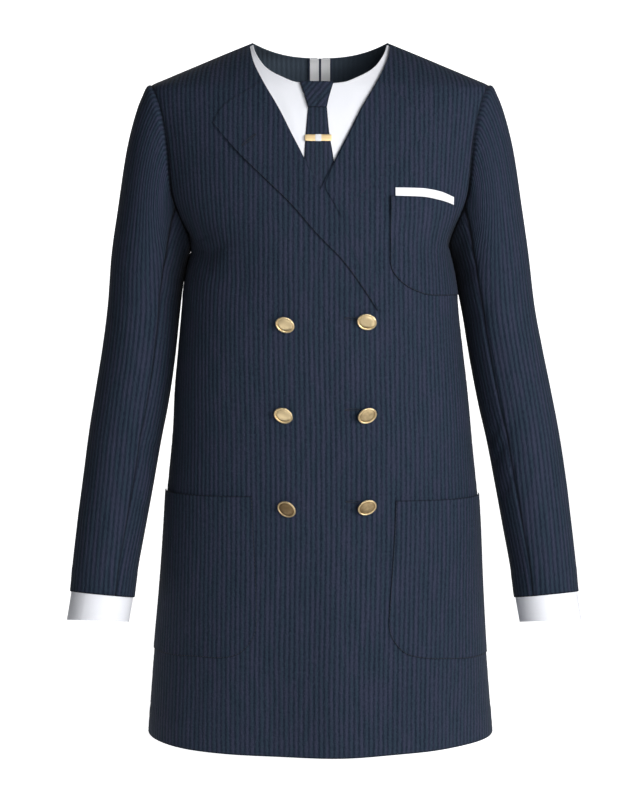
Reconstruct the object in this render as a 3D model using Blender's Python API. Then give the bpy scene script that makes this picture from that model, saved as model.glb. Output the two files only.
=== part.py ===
"""A navy blazer dress, filled out with no wearer.

The cloth is a thin wall on one garment form. The form is a stack of level rings, each worked out
from a row of the TORSO table, and every panel, pocket, lapel and bib is a grid of points on it,
moved in or out. Sleeves are lofted from the armhole through the rows of the SLEEVE table.

Lengths are millimetres here and become metres when a mesh is made. +Z is up, the front faces -Y,
and the origin lies between the two highest points of the shoulders. "left" and "right" are the
viewer's, looking at the front.
"""

import math

import bmesh
import bpy
import numpy as np
from mathutils import Matrix, Vector

METRES = 0.001

# Driving dimensions, mm
HEM_Z = -810.0
UNDERARM_Z = -236.0
SHOULDER_TIP = (194.0, -47.0)
NECK_POINT = (78.0, 1.5)
CLOTH = 1.2
SHIRTING = 1.0
SEAM_GAP = 0.3
TIE_LAYER = (-3.5, -2.5)
BIB_LAYER = (-4.8, -3.8)
TIE_BAR_LAYER = (-2.2, -0.4)
PATCH_LAYER = (SEAM_GAP, SEAM_GAP + CLOTH)
LAPEL_LAYER = (0.5, 0.5 + SHIRTING)
SQUARE_LAYER = (0.7, 0.7 + SHIRTING)
ZIP_TAPE_LAYER = (-2.5, -1.7)
NECK_TAPE_LAYER = (-3.9, -2.9)

FRONT = -1
BACK = 1

# The form's level rings: height, half width, depth of the front, depth of the back, squareness,
# x of the middle. Between the underarm and the shoulder tip the armholes cut the rings short.
TORSO = (
    (-812, 205.0, 127.0, 129.0, 2.02, 0.0),
    (-737, 199.0, 126.0, 127.5, 2.12, 0.0),
    (-640, 191.0, 125.0, 124.0, 2.22, 1.2),
    (-544, 184.5, 123.5, 118.0, 2.32, 2.5),
    (-449, 175.0, 121.5, 109.0, 2.40, 2.3),
    (-402, 171.5, 120.5, 105.0, 2.40, 1.2),
    (-355, 166.5, 120.5, 103.0, 2.40, 0.5),
    (-308, 161.6, 121.5, 103.5, 2.40, 0.0),
    (-284, 159.7, 121.5, 104.6, 2.39, 0.0),
    (-266, 156.7, 121.5, 105.8, 2.38, 0.0),
    (-252, 153.6, 120.8, 106.7, 2.37, 0.0),
    (-236, 150.0, 119.5, 108.0, 2.35, 0.0),
    (-222, 153.6, 118.8, 109.2, 2.33, 0.0),
    (-205, 162.0, 117.5, 110.2, 2.32, 0.0),
    (-187, 171.5, 115.0, 111.0, 2.30, 0.0),
    (-170, 178.0, 112.0, 111.0, 2.30, 0.0),
    (-150, 183.0, 107.0, 110.0, 2.28, 0.0),
    (-130, 187.0, 101.0, 108.0, 2.26, 0.0),
    (-105, 192.5, 92.5, 104.0, 2.24, 0.0),
    (-77, 200.0, 81.0, 97.5, 2.22, 0.0),
    (-60, 203.5, 72.0, 91.0, 2.20, 0.0),
    (-52, 201.5, 67.2, 87.0, 2.20, 0.0),
    (-47, 194.0, 64.0, 84.0, 2.20, 0.0),
    (-35, 163.6, 54.5, 76.0, 2.20, 0.0),
    (-22, 130.8, 42.5, 65.0, 2.20, 0.0),
    (-14, 110.6, 34.0, 57.0, 2.20, 0.0),
    (-8, 95.5, 25.0, 46.0, 2.20, 0.0),
    (-3, 82.8, 15.0, 30.0, 2.20, 0.0),
    (1.5, 78.0, 5.0, 14.0, 2.20, 0.0),
)
# The armhole's line in the front view: height, half width
ARMHOLE = (
    (-236, 150.0),
    (-232, 149.8),
    (-222, 151.6),
    (-205, 158.0),
    (-187, 165.5),
    (-170, 170.0),
    (-150, 172.0),
    (-130, 173.5),
    (-105, 176.5),
    (-77, 182.0),
    (-60, 188.0),
    (-47, 194.0),
)

# The sleeve's rings: outer edge x and z, inner edge x and z, middle y, half depth
SLEEVE = (
    (200.5, -50.5, 151.4, -240.0, 1.0, 48.0),
    (212.0, -75.5, 152.6, -245.0, 1.0, 51.5),
    (224.5, -122.0, 154.4, -252.5, 2.0, 55.0),
    (235.5, -190.0, 157.4, -266.0, 2.0, 57.0),
    (243.4, -243.0, 160.8, -284.0, 1.0, 57.0),
    (249.6, -302.0, 165.8, -316.0, 0.0, 55.5),
    (257.6, -352.0, 172.8, -366.0, -2.0, 54.0),
    (267.0, -402.0, 181.2, -415.0, -5.0, 52.5),
    (275.5, -450.0, 191.0, -461.0, -9.0, 50.0),
    (282.5, -500.0, 200.0, -510.0, -14.0, 47.5),
    (289.0, -550.0, 209.0, -559.0, -20.0, 45.0),
    (294.5, -600.0, 218.0, -608.0, -27.0, 42.5),
    (297.6, -635.5, 222.6, -643.0, -32.0, 41.0),
    (302.6, -668.5, 227.4, -671.5, -37.0, 40.0),
)
CUFF_PLACES = (12.6, 13.05, 13.5, 14.0)
CUFF_INSET = CLOTH + SEAM_GAP
# The level ellipse nearest to the armhole, in the same columns, and how much of the armhole's own
# shape each of the first rows keeps
ARMHOLE_ELLIPSE = (194.0, -47.0, 150.0, -236.0, 1.5, 45.5)
ARMHOLE_KEPT = (0.8, 0.5, 0.2)
# How much higher the front of a ring lies than its middle: height, rise
FRONT_RISE = ((-674, 8.4), (-643, 7.6), (-608, 4.5), (-560, 1.5), (-500, 0.0))
# The arm on the viewer's right hangs further out: height, extra x
SPLAY = ((-674, 5.0), (-500, 5.0), (-420, 4.0), (-330, 2.0), (-262, 0.0), (-40, 0.0))

# The V neck's edge from the shoulder to its point: x, z
V_EDGE = (
    (81.6, 0.0), (76.5, -20.0), (66.0, -42.0), (45.0, -78.0), (33.5, -101.0), (22.0, -123.0),
    (0.0, -167.0),
)
# The bib's round neck edge from the shoulder to the centre: x, z
BIB_NECK = (
    (77.6, 0.9), (74.0, -9.0), (65.0, -22.6), (56.8, -29.8), (43.5, -37.0), (27.0, -43.5),
    (0.0, -46.3),
)
# The bib's lower edge, tucked under the V: x, z
BIB_LOWER = (
    (90.5, -4.5), (85.0, -25.0), (74.5, -46.0), (53.5, -82.5), (42.0, -105.5), (30.0, -129.0),
    (0.0, -181.0),
)
# The bib rises towards the cloth beside the neck points: how far, from which z, over which height
BIB_RISE = (1.3, -28.0, 24.0)
# The tie's knot and blade: height, left x, right x
KNOT = ((-45.5, -22.7, 15.3), (-55.0, -19.6, 12.5), (-64.7, -16.4, 9.8), (-74.9, -13.5, 7.6))
BLADE = ((-75.3, -13.3, 7.7), (-99.7, -15.7, 10.1), (-135.0, -18.0, 15.6), (-176.0, -20.0, 19.0))
KNOT_LIFT = 0.6
KNOT_CROWN = 2.6
TIE_BAR_CROWN = 0.7
TIE_BAR = (-17.0, 13.2, -112.8, -105.3)
BACK_NECK_DROP = 12.8
BACK_NECK_FLATNESS = 2.4

# The lapels, x, z. The inner edge follows the V and then the roll line, the outer edge is the free one.
LEFT_LAPEL_INNER = (
    (-66, -44), (-46, -78), (-35, -101), (-23, -124), (-8, -154), (9, -184), (28, -215), (65, -300),
)
LEFT_LAPEL_OUTER = (
    (-121, -92), (-92, -126), (-61, -156), (-33, -183), (-3, -217), (25, -246), (45, -273),
    (64, -302),
)
LEFT_LAPEL_TOP = ((-66, -44), (-84, -57), (-103, -68), (-113, -78), (-121, -92))
RIGHT_LAPEL_INNER = (
    (66, -44), (46, -78), (35, -101), (23, -124), (12, -146), (6, -163), (15, -181), (23, -196),
)
RIGHT_LAPEL_OUTER = (
    (125, -100), (101, -121), (84, -137), (69, -151), (56, -163), (39, -179), (31, -188),
    (24, -197),
)
RIGHT_LAPEL_TOP = ((66, -44), (84, -57), (104, -71), (115, -83), (125, -100))
# The hip pockets, x, z: the mouth's inner end, then the lower edge from the inner corner outwards
HIP_MOUTH = {"left": (-76.0, -511.0), "right": (85.0, -516.0)}
HIP_LOWER = {
    "left": ((-71, -648), (-73, -664), (-80, -680), (-95, -694), (-116, -699), (-140, -700), (-165, -703)),
    "right": ((78, -656), (80, -669), (87, -682), (100, -694), (121, -700), (150, -704), (175, -708)),
}
HIP_MOUTH_FALL = 7.0
HIP_LOWER_FALL = 4.0
HIP_GAPE = 1.7
HIP_GAPE_INNER = 0.35
HIP_ROWS = (0.0, 0.04, 0.12, 0.25, 0.42, 0.6, 0.8, 1.0)
POCKET_END_Q = 0.978
# The breast pocket, x, z
BREAST_MOUTH = ((78.0, -174.0), (112.0, -175.0), (135.0, -179.0))
BREAST_MOUTH_END = (0.84, -186.0)
BREAST_LOWER = ((78, -247), (80, -256), (85, -264), (94, -273), (106, -280), (124, -286))
BREAST_LOWER_END = (0.87, -289.0)
BREAST_ROWS = (0.0, 0.07, 0.14, 0.26, 0.42, 0.6, 0.8, 1.0)
BREAST_COLUMNS = 11
BREAST_GAPE = 1.75
BREAST_GAPE_FALL = (0.14, 0.42)
BREAST_BRIDGE = 0.8
BREAST_BRIDGE_Z = -236.0
BREAST_BRIDGE_HALF = 30.0
SQUARE_TOP = ((84.0, -165.0), (112.0, -165.5), (134.0, -169.0), (151.0, -175.5))
SQUARE_FOOT = ((84.0, -183.0), (112.0, -184.0), (134.0, -188.0), (151.0, -195.0))

# The gilt buttons: name, x, z, droop below level and lean to the right, in degrees
BUTTONS = (
    ("button_top_left", -36.7, -312.2, 36, -18),
    ("button_top_right", 53.2, -309.1, 36, -25),
    ("button_middle_left", -38.5, -413.9, 36, -21),
    ("button_middle_right", 50.6, -414.1, 36, 18),
    ("button_low_left", -34.2, -519.7, 36, -32),
    ("button_low_right", 50.5, -517.4, 36, 19),
)
# A button's turned profile: radius, distance from the foot of its shank
BUTTON_PROFILE = (
    (1.0, 0.4), (1.8, 1.3), (1.8, 7.2), (9.8, 7.5), (11.0, 8.4), (10.6, 9.4), (8.3, 9.4),
    (4.4, 10.2),
)
BUTTON_TOP = 10.5
BUTTON_FOOT_OUT = 0.55
BUTTON_SEGMENTS = 14

# The zip in the centre back
ZIP_TAPE_HALF = 12.0
ZIP_TAPE_Z = (-520.0, -18.0)
NECK_TAPE_HALF = 14.0
NECK_TAPE_Z = (-95.0, -15.0)
SLIDER_Z = -26.0
SLIDER_HALF_WIDTH = 3.0
SLIDER_RUN = (-4.4, 3.6)
SLIDER_LAYER = (0.3, 2.5)
ARCH_HALF_WIDTH = 0.6
ARCH_RUN = (1.8, 3.0)
ARCH_LAYER = (4.4, 5.4)
HINGE_OUT = 3.45
PULL_HALF_WIDTH = 2.4
PULL_HOLE_HALF = 1.1
PULL_BAR_HALF = 0.5
PULL_HOLE_END = 4.5
PULL_SHOULDER = 1.0
PULL_WAIST = 3.0
PULL_WAIST_HALF = 1.6
PULL_FOOT = 2.0
PULL_FOOT_HALF = 2.1
PULL_TIP_HALF = 1.2
PULL_WINDOW_STEPS = (1.0, 0.4)
ARCH_SUNK = 0.5
ARCH_WINDOW_UP = 0.4
PULL_LENGTH = 23.0
PULL_REST = math.radians(4.0)

# Grid sizes
FRONT_COLUMNS = 33
BACK_COLUMNS = 13
LOWER_ROWS = 15
LOWER_CROWDING = 1.3
ARMHOLE_STEPS = 12
ARMHOLE_STEP = 180.0 / ARMHOLE_STEPS
SLEEVE_PLACES = (0.0, 0.5, 1.0, 1.5, 2.0, 3.0, 4.0, 5.0, 6.0, 7.0, 8.0, 9.0, 10.0, 11.0, 12.0, 13.0)
SLEEVE_SEAM = 120.0
SLEEVE_SEAM_GAP = 0.2
FRONT_NECK_SHARE = 6 / 16
BACK_NECK_SHARE = 5 / 12
NECK_CROWDING = 1.5

# Colour, roughness and metallic value of each stuff
STUFFS = {
    "seersucker": ((0.028, 0.040, 0.066), 0.85, 0.0),
    "shirting": ((0.86, 0.87, 0.92), 0.80, 0.0),
    "zip_cloth": ((0.018, 0.024, 0.040), 0.75, 0.0),
    "tape": ((0.80, 0.80, 0.82), 0.70, 0.0),
    "gilt": ((0.83, 0.60, 0.30), 0.28, 1.0),
    "navy_enamel": ((0.020, 0.028, 0.055), 0.30, 0.0),
}

# Soft folds: side of the body, start arc and z, end arc and z, half width, depth (out is positive)
FOLDS = (
    (FRONT, -118, -238, -196, -206, 16, -3.0),
    (FRONT, -74, -268, -186, -236, 20, -2.5),
    (FRONT, 14, -812, 12, -400, 26, 3.0),
    (FRONT, -34, -812, -30, -520, 24, -2.5),
    (FRONT, 58, -812, 60, -500, 26, -2.5),
    (FRONT, -108, -812, -112, -716, 32, 2.5),
    (FRONT, 118, -812, 122, -722, 32, -2.5),
    (BACK, 96, -812, 70, -470, 28, 3.0),
    (BACK, 32, -812, 26, -560, 26, -3.0),
    (BACK, -104, -812, -84, -500, 28, 3.5),
    (BACK, -48, -812, -36, -600, 26, -3.0),
    (BACK, 60, -330, 190, -240, 20, -2.5),
    (BACK, -66, -322, -190, -238, 22, -3.0),
)
QUARTER_ARC = 200.0
FOLD_FREE_EDGE = 0.22


def smooth_curve(at, knots, values):
    """Monotone cubic through the knots, flat beyond both ends."""
    knots = np.asarray(knots, float)
    values = np.asarray(values, float)
    step = np.diff(knots)
    slope = np.diff(values) / step
    tangent = np.empty(len(knots))
    tangent[0] = slope[0]
    tangent[-1] = slope[-1]
    turns = slope[:-1] * slope[1:] <= 0
    total = np.where(turns, 1.0, slope[:-1] + slope[1:])
    tangent[1:-1] = np.where(turns, 0.0, 2 * slope[:-1] * slope[1:] / total)
    at = np.clip(np.asarray(at, float), knots[0], knots[-1])
    i = np.clip(np.searchsorted(knots, at, side="right") - 1, 0, len(step) - 1)
    t = (at - knots[i]) / step[i]
    rise = (1 - t) ** 2 * (1 + 2 * t) * values[i] + t**2 * (3 - 2 * t) * values[i + 1]
    lean = t * (1 - t) * step[i] * ((1 - t) * tangent[i] - t * tangent[i + 1])
    return rise + lean


def along(points, share):
    """Points at these shares of the length of a smooth line through the given points."""
    points = np.asarray(points, float)
    length = np.concatenate([[0], np.cumsum(np.linalg.norm(np.diff(points, axis=0), axis=1))])
    length = length / length[-1]
    return np.stack([smooth_curve(share, length, points[:, k]) for k in range(points.shape[1])], -1)


def ring(z):
    """Half width, front depth, back depth, squareness and middle x of the form's ring at a height."""
    rows = np.asarray(TORSO, float)
    values = [smooth_curve(z, rows[:, 0], rows[:, k]) for k in range(1, 6)]
    tip_x, tip_z = SHOULDER_TIP
    neck_x, neck_z = NECK_POINT
    seam = tip_x + (np.asarray(z) - tip_z) / (neck_z - tip_z) * (neck_x - tip_x)
    values[0] = np.where(np.asarray(z) > tip_z, seam, values[0])
    return values


def turn_of(z):
    """The angle from the middle to which a panel reaches round the ring: short of the side in the armhole."""
    half, _, _, squareness, _ = ring(z)
    line = np.asarray(ARMHOLE, float)
    cut = np.minimum(smooth_curve(z, line[:, 0], line[:, 1]) / half, 1)
    in_armhole = (np.asarray(z) > UNDERARM_Z) & (np.asarray(z) < SHOULDER_TIP[1])
    x = np.where(in_armhole, cut, 1.0)
    y = np.maximum(1 - x**squareness, 0) ** (1 / squareness)
    return np.arctan2(x, y)


def ring_point(angle, z, side):
    """The point of the ring at a height, at an angle from the middle of the front or back."""
    half, front, back, squareness, middle = ring(z)
    sine = np.sin(angle)
    cosine = np.cos(angle)
    radius = (np.abs(sine) ** squareness + np.abs(cosine) ** squareness) ** (-1 / squareness)
    depth = front if side == FRONT else back
    out = depth * radius * cosine + SEAM_GAP / 2
    return np.stack([middle + half * radius * sine, side * out, np.asarray(z, float) + 0 * angle], -1)


def bare_form(q, z, side):
    """The form under a panel. q is -1 at the panel's left edge, 0 in the middle and 1 at its right edge."""
    return ring_point(q * turn_of(z), z, side)


def q_at(x, z, side):
    """The q of the form's point that lies at x, z in the front view."""
    half, _, _, squareness, middle = ring(z)
    from_middle = x - middle
    reach = np.clip(np.abs(from_middle) / half, 0, 1)
    y = np.maximum(1 - reach**squareness, 0) ** (1 / squareness)
    return np.sign(from_middle) * np.clip(np.arctan2(reach, y) / turn_of(z), 0, 1)


def form_normal(q, z, side):
    """Outward unit normals of the form."""
    small_angle = 1e-4
    small_drop = 0.02
    angle = q * turn_of(z)
    across = ring_point(angle + small_angle, z, side) - ring_point(angle - small_angle, z, side)
    up = ring_point(angle, z, side) - ring_point(angle, z - small_drop, side)
    normal = np.cross(across, up) * -side
    return normal / np.linalg.norm(normal, axis=-1, keepdims=True)


def folds(q, z, side):
    """How far the cloth's soft folds stand out of the form, each fading to nothing at its upper end."""
    arc = q * QUARTER_ARC
    total = np.zeros(np.broadcast(q, z).shape)
    for where, arc_0, z_0, arc_1, z_1, half_width, depth in FOLDS:
        if where != side:
            continue
        run = np.array([arc_1 - arc_0, z_1 - z_0])
        share = ((arc - arc_0) * run[0] + (z - z_0) * run[1]) / (run @ run)
        near = np.clip(share, 0, 1)
        gap = np.hypot(arc - arc_0 - near * run[0], z - z_0 - near * run[1])
        fade = (1 - near**2) ** 2
        total = total + depth * fade * np.exp(-((gap / half_width) ** 2))
    from_edge = np.clip((1 - np.abs(q)) / FOLD_FREE_EDGE, 0, 1)
    return total * from_edge**2 * (3 - 2 * from_edge)


def on_form(q, z, side, out=0.0):
    """Points on the folded cloth, moved out of it by a distance."""
    q = np.asarray(q, float)
    z = np.asarray(z, float)
    lift = folds(q, z, side) + out
    return bare_form(q, z, side) + form_normal(q, z, side) * lift[..., None]


def front_view(x, z, side, out=0.0):
    """Points on the folded cloth at x, z in the front view."""
    return on_form(q_at(x, z, side), z, side, out)


def material(name, colour, roughness, metallic=0.0):
    """A plain Principled material."""
    made = bpy.data.materials.new(name)
    made.use_nodes = True
    shader = made.node_tree.nodes["Principled BSDF"]
    shader.inputs["Base Color"].default_value = (*colour, 1.0)
    shader.inputs["Roughness"].default_value = roughness
    shader.inputs["Metallic"].default_value = metallic
    return made


def add_mesh(name, points, faces, finish):
    """A new object from points in millimetres."""
    mesh = bpy.data.meshes.new(name)
    mesh.from_pydata((np.asarray(points) * METRES).tolist(), [], faces)
    mesh.update()
    mesh.shade_smooth()
    mesh.set_sharp_from_angle(angle=math.radians(50))
    mesh.materials.append(finish)
    obj = bpy.data.objects.new(name, mesh)
    bpy.context.collection.objects.link(obj)
    return obj


def add_wall(name, outer, inner, finish, closed=False):
    """A cloth wall between two grids of points. A closed wall joins its last column to its first."""
    rows, columns = outer.shape[:2]
    points = np.concatenate([outer.reshape(-1, 3), inner.reshape(-1, 3)])
    last = columns if closed else columns - 1
    shift = rows * columns

    def at(row, column, inside):
        return row * columns + column % columns + shift * inside

    faces = []
    for r in range(rows - 1):
        for c in range(last):
            faces.append((at(r, c, 0), at(r, c + 1, 0), at(r + 1, c + 1, 0), at(r + 1, c, 0)))
            faces.append((at(r, c, 1), at(r + 1, c, 1), at(r + 1, c + 1, 1), at(r, c + 1, 1)))
    for c in range(last):
        faces.append((at(0, c, 0), at(0, c, 1), at(0, c + 1, 1), at(0, c + 1, 0)))
        top = rows - 1
        faces.append((at(top, c, 0), at(top, c + 1, 0), at(top, c + 1, 1), at(top, c, 1)))
    if not closed:
        for r in range(rows - 1):
            faces.append((at(r, 0, 0), at(r + 1, 0, 0), at(r + 1, 0, 1), at(r, 0, 1)))
            end = columns - 1
            faces.append((at(r, end, 0), at(r, end, 1), at(r + 1, end, 1), at(r + 1, end, 0)))
    obj = add_mesh(name, points, faces, finish)
    face_outwards(obj)
    return obj


def face_outwards(obj):
    """Turns every face of a closed mesh to point out."""
    work = bmesh.new()
    work.from_mesh(obj.data)
    bmesh.ops.recalc_face_normals(work, faces=work.faces)
    if work.calc_volume(signed=True) < 0:
        bmesh.ops.reverse_faces(work, faces=work.faces)
    work.to_mesh(obj.data)
    work.free()


def lower_rows():
    """Heights of a panel's level rows from the hem to the underarm, closer together near the underarm."""
    share = np.linspace(0, 1, LOWER_ROWS)
    return HEM_Z + (UNDERARM_Z - HEM_Z) * (1 - (1 - share) ** LOWER_CROWDING)


def armhole_share():
    """Shares of a panel's height above the underarm that step evenly round the armhole."""
    turn = np.linspace(0, math.pi, ARMHOLE_STEPS + 1)
    return (1 - np.cos(turn)) / 2


def panel_tops(u, neck_u, neck_line):
    """Where each column of a panel ends: on the neck edge inside neck_u, on the shoulder seam outside."""
    size = np.abs(u)
    tip_x, tip_z = SHOULDER_TIP
    inner_x, inner_z = neck_line[0]
    share = np.clip((size - neck_u) / (1 - neck_u), 0, 1)
    seam_x = inner_x + (tip_x - inner_x) * share
    seam_z = inner_z + (tip_z - inner_z) * share
    neck = along(neck_line, (1 - np.clip(size / neck_u, 0, 1)) ** NECK_CROWDING)
    in_neck = size < neck_u
    return np.where(in_neck, neck[..., 0], seam_x), np.where(in_neck, neck[..., 1], seam_z)


def panel(name, side, u, neck_u, neck_line, finish):
    """A body panel: level rows up to the underarm, then columns that run to the neck and shoulder."""
    least_x = SEAM_GAP / 2 if side == BACK else 0.0
    lower_z = lower_rows()
    q_low = np.broadcast_to(u, (len(lower_z), len(u)))
    z_low = np.broadcast_to(lower_z[:, None], q_low.shape)
    top_x, top_z = panel_tops(u, neck_u, neck_line)
    base = bare_form(u, np.full(len(u), UNDERARM_Z), side)[:, 0]
    share = armhole_share()[1:, None]
    z_high = UNDERARM_Z + (top_z - UNDERARM_Z) * share
    line = np.asarray(ARMHOLE, float)

    def armhole_x(z):
        return smooth_curve(z, line[:, 0], line[:, 1])

    low = np.abs(base) / armhole_x(UNDERARM_Z)
    high = top_x / armhole_x(top_z)
    x_high = (low + (high - low) * share) * armhole_x(z_high) * np.sign(u)
    q_high = q_at(x_high, z_high, side)
    q_high = np.where(np.abs(u) > 1 - 1e-9, np.sign(u), q_high)
    on_seam = (share > 1 - 1e-9) & (np.abs(u) >= neck_u - 1e-9)
    q_high = np.where(on_seam, np.sign(u), q_high)
    q = np.concatenate([q_low, q_high])
    z = np.concatenate([z_low, z_high])
    if side == BACK:
        middle = q_at(ring(z)[4] + least_x, z, side)
        which = 1 if u.max() > 0 else -1
        q = which * np.maximum(np.abs(q), middle)
    return add_wall(name, on_form(q, z, side), on_form(q, z, side, -CLOTH), finish)


def back_neck():
    """The back neck's edge from the neck point to the centre back: x, z."""
    neck_x, neck_z = NECK_POINT
    x = neck_x * np.linspace(1, 0, 7)
    z = neck_z - (BACK_NECK_DROP + neck_z) * (1 - (x / neck_x) ** BACK_NECK_FLATNESS)
    return np.stack([x, z], -1)


def armhole_line(angle, side):
    """The right armhole's points, the way out of the panel and its normals. Angle 0 is the shoulder tip."""
    middle = (UNDERARM_Z + SHOULDER_TIP[1]) / 2
    half = (SHOULDER_TIP[1] - UNDERARM_Z) / 2

    def height(turn):
        return middle + half * np.cos(np.clip(turn, 0, math.pi))

    def at(turn):
        z = height(turn)
        return bare_form(np.ones_like(z), z, side)

    small_turn = 0.01
    tangent = at(angle + small_turn) - at(angle - small_turn)
    z = height(angle)
    normal = form_normal(np.ones_like(z), z, side)
    away = side * np.cross(tangent, normal)
    return at(angle), away / np.linalg.norm(away, axis=-1, keepdims=True), normal


def sleeve_ring(row, angle, extra):
    """One ring of the sleeve. Angle 0 is the outer edge, 90 degrees the front, 180 the inner edge."""
    outer_x, outer_z, inner_x, inner_z, middle_y, half_depth = row
    cosine = np.cos(angle)
    rise = np.asarray(FRONT_RISE, float)
    lifted = smooth_curve((outer_z + inner_z) / 2, rise[:, 0], rise[:, 1])
    x = (outer_x + inner_x) / 2 + (outer_x - inner_x) / 2 * cosine + extra
    z = (outer_z + inner_z) / 2 + (outer_z - inner_z) / 2 * cosine + lifted * np.sin(angle)
    y = middle_y - half_depth * np.sin(angle)
    return np.stack([x, y, z], -1)


def sleeve_start(angle):
    """The armhole's points that a sleeve starts from, the way out of the panels there and their normals."""
    turn = np.mod(angle, 2 * math.pi)
    from_front = turn <= math.pi
    folded = np.where(from_front, turn, 2 * math.pi - turn)
    point = np.empty((len(angle), 3))
    away = np.empty((len(angle), 3))
    normal = np.empty((len(angle), 3))
    for side, chosen in ((FRONT, from_front), (BACK, ~from_front)):
        if chosen.any():
            point[chosen], away[chosen], normal[chosen] = armhole_line(folded[chosen], side)
    return point, away, normal


def sleeve_rows(angle, sign):
    """The sleeve's rings as one array, armhole first, on the right-hand side."""
    point, away, normal = sleeve_start(angle)
    valley = np.clip(-np.cos(angle), 0, 1)[:, None]
    splay = np.asarray(SPLAY, float)
    rings = [point + (away + normal * valley) * SEAM_GAP]
    own_shape = point - sleeve_ring(ARMHOLE_ELLIPSE, angle, 0.0)
    kept = np.zeros(len(SLEEVE))
    kept[:len(ARMHOLE_KEPT)] = ARMHOLE_KEPT
    for row, share in zip(SLEEVE, kept):
        extra = smooth_curve((row[1] + row[3]) / 2, splay[:, 0], splay[:, 1]) * sign
        rings.append(sleeve_ring(row, angle, float(extra)) + own_shape * share)
    return np.stack(rings)


def loft(rings, share):
    """Smooth lines through matching points of the rings, read at shares from 0 to the last ring."""
    count = len(rings)
    tangent = np.empty_like(rings)
    tangent[1:-1] = (rings[2:] - rings[:-2]) / 2
    tangent[0] = rings[1] - rings[0]
    tangent[-1] = rings[-1] - rings[-2]
    i = np.clip(np.floor(share).astype(int), 0, count - 2)
    t = (share - i)[:, None, None]
    start, end = rings[i], rings[i + 1]
    rise = (1 - t) ** 2 * (1 + 2 * t) * start + t**2 * (3 - 2 * t) * end
    return rise + t * (1 - t) * ((1 - t) * tangent[i] - t * tangent[i + 1])


def grid_normal(angle, share, sign):
    """Outward normals of the sleeve at a grid of angles and shares."""
    small = 1e-3

    def at(turn, place):
        return loft(sleeve_rows(turn, sign), place)

    across = at(angle + small, share) - at(angle - small, share)
    ahead = np.minimum(share + small, len(SLEEVE))
    behind = np.maximum(share - small, 0)
    along_arm = at(angle, ahead) - at(angle, behind)
    normal = np.cross(across, along_arm)
    normal = normal / np.linalg.norm(normal, axis=-1, keepdims=True)
    if share[0] == 0:
        start = sleeve_start(angle)[2]
        like_panel = np.clip(1 + np.cos(angle), 0, 1)[:, None]
        blend = start * like_panel + normal[0] * (1 - like_panel)
        normal[0] = blend / np.linalg.norm(blend, axis=-1, keepdims=True)
    return normal


def sleeve_piece(name, side, angles, share, finish, thickness=CLOTH, inset=0.0, closed=False):
    """A wall on the sleeve between two angles and two shares of its length."""
    turn = np.radians(angles)
    normal = grid_normal(turn, share, side)
    outer = loft(sleeve_rows(turn, side), share) - normal * inset
    inner = outer - normal * thickness
    mirror = np.array([side, 1, 1])
    return add_wall(name, outer * mirror, inner * mirror, finish, closed)


def between(first, second, share):
    """A grid whose rows run from one line of points to another, at these shares."""
    share = np.asarray(share, float)[:, None, None]
    return first[None] * (1 - share) + second[None] * share


def patch(name, grid, layer, stuff, side=FRONT, lift=0.0, crown=0.0):
    """A piece laid on the form over a grid of q and z, between two distances from it."""
    q = grid[..., 0]
    z = grid[..., 1]
    inner = on_form(q, z, side, layer[0] + lift)
    outer = on_form(q, z, side, layer[1] + lift + crown)
    return add_wall(name, outer, inner, finish_of(name, stuff))


def on_q(points, side=FRONT):
    """Turns x, z of the front view into q, z."""
    points = np.asarray(points, float)
    return np.stack([q_at(points[..., 0], points[..., 1], side), points[..., 1]], -1)


def finish_of(name, stuff):
    """A sub-part's own material."""
    return material(name + "_finish", *STUFFS[stuff])


def build_body():
    """The front and the two halves of the back."""
    across = np.linspace(-1, 1, FRONT_COLUMNS)
    panel("front", FRONT, across, FRONT_NECK_SHARE, V_EDGE, finish_of("front", "seersucker"))
    half = np.linspace(0, 1, BACK_COLUMNS)
    panel("back_left", BACK, -half[::-1], BACK_NECK_SHARE, back_neck(), finish_of("back_left", "seersucker"))
    panel("back_right", BACK, half, BACK_NECK_SHARE, back_neck(), finish_of("back_right", "seersucker"))


def build_bib():
    """The shirt front that fills the V, from its round neck edge to a tuck under the front."""
    share = np.linspace(0, 1, 9)
    mirror = np.array([-1.0, 1.0])
    lines = []
    for line in (BIB_NECK, BIB_LOWER):
        right = along(line, share)
        lines.append(np.concatenate([right * mirror, right[-2::-1]]))
    grid = on_q(between(*lines, np.linspace(0, 1, 9)))
    rise, from_z, height = BIB_RISE
    share = np.clip((grid[..., 1] - from_z) / height, 0, 1)
    patch("bib", grid, BIB_LAYER, "shirting", lift=rise * share * share * (3 - 2 * share))


def tie_grid(rows, count, columns):
    """A grid of count rows between the tie's two edges, which are given as height, left x and right x."""
    rows = along(rows, np.linspace(0, 1, count))
    left = np.stack([rows[:, 1], rows[:, 0]], -1)
    right = np.stack([rows[:, 2], rows[:, 0]], -1)
    return np.swapaxes(between(left, right, np.linspace(0, 1, columns)), 0, 1)


def build_tie():
    """The knot, the blade that widens down into the V, and the bar across it."""
    across = np.linspace(-1, 1, 7)
    knot = on_q(tie_grid(KNOT, 4, 7))
    patch("tie_knot", knot, TIE_LAYER, "seersucker", crown=KNOT_LIFT + KNOT_CROWN * (1 - across**4))
    patch("tie_blade", on_q(tie_grid(BLADE, 9, 7)), TIE_LAYER, "seersucker")
    left, right, low, high = TIE_BAR
    bar = ((high, left, right), ((high + low) / 2, left, right), (low, left, right))
    rounded = TIE_BAR_CROWN * np.array([[0.0], [1.0], [0.0]])
    patch("tie_bar", on_q(tie_grid(bar, 3, 7)), TIE_BAR_LAYER, "gilt", crown=rounded)


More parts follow.
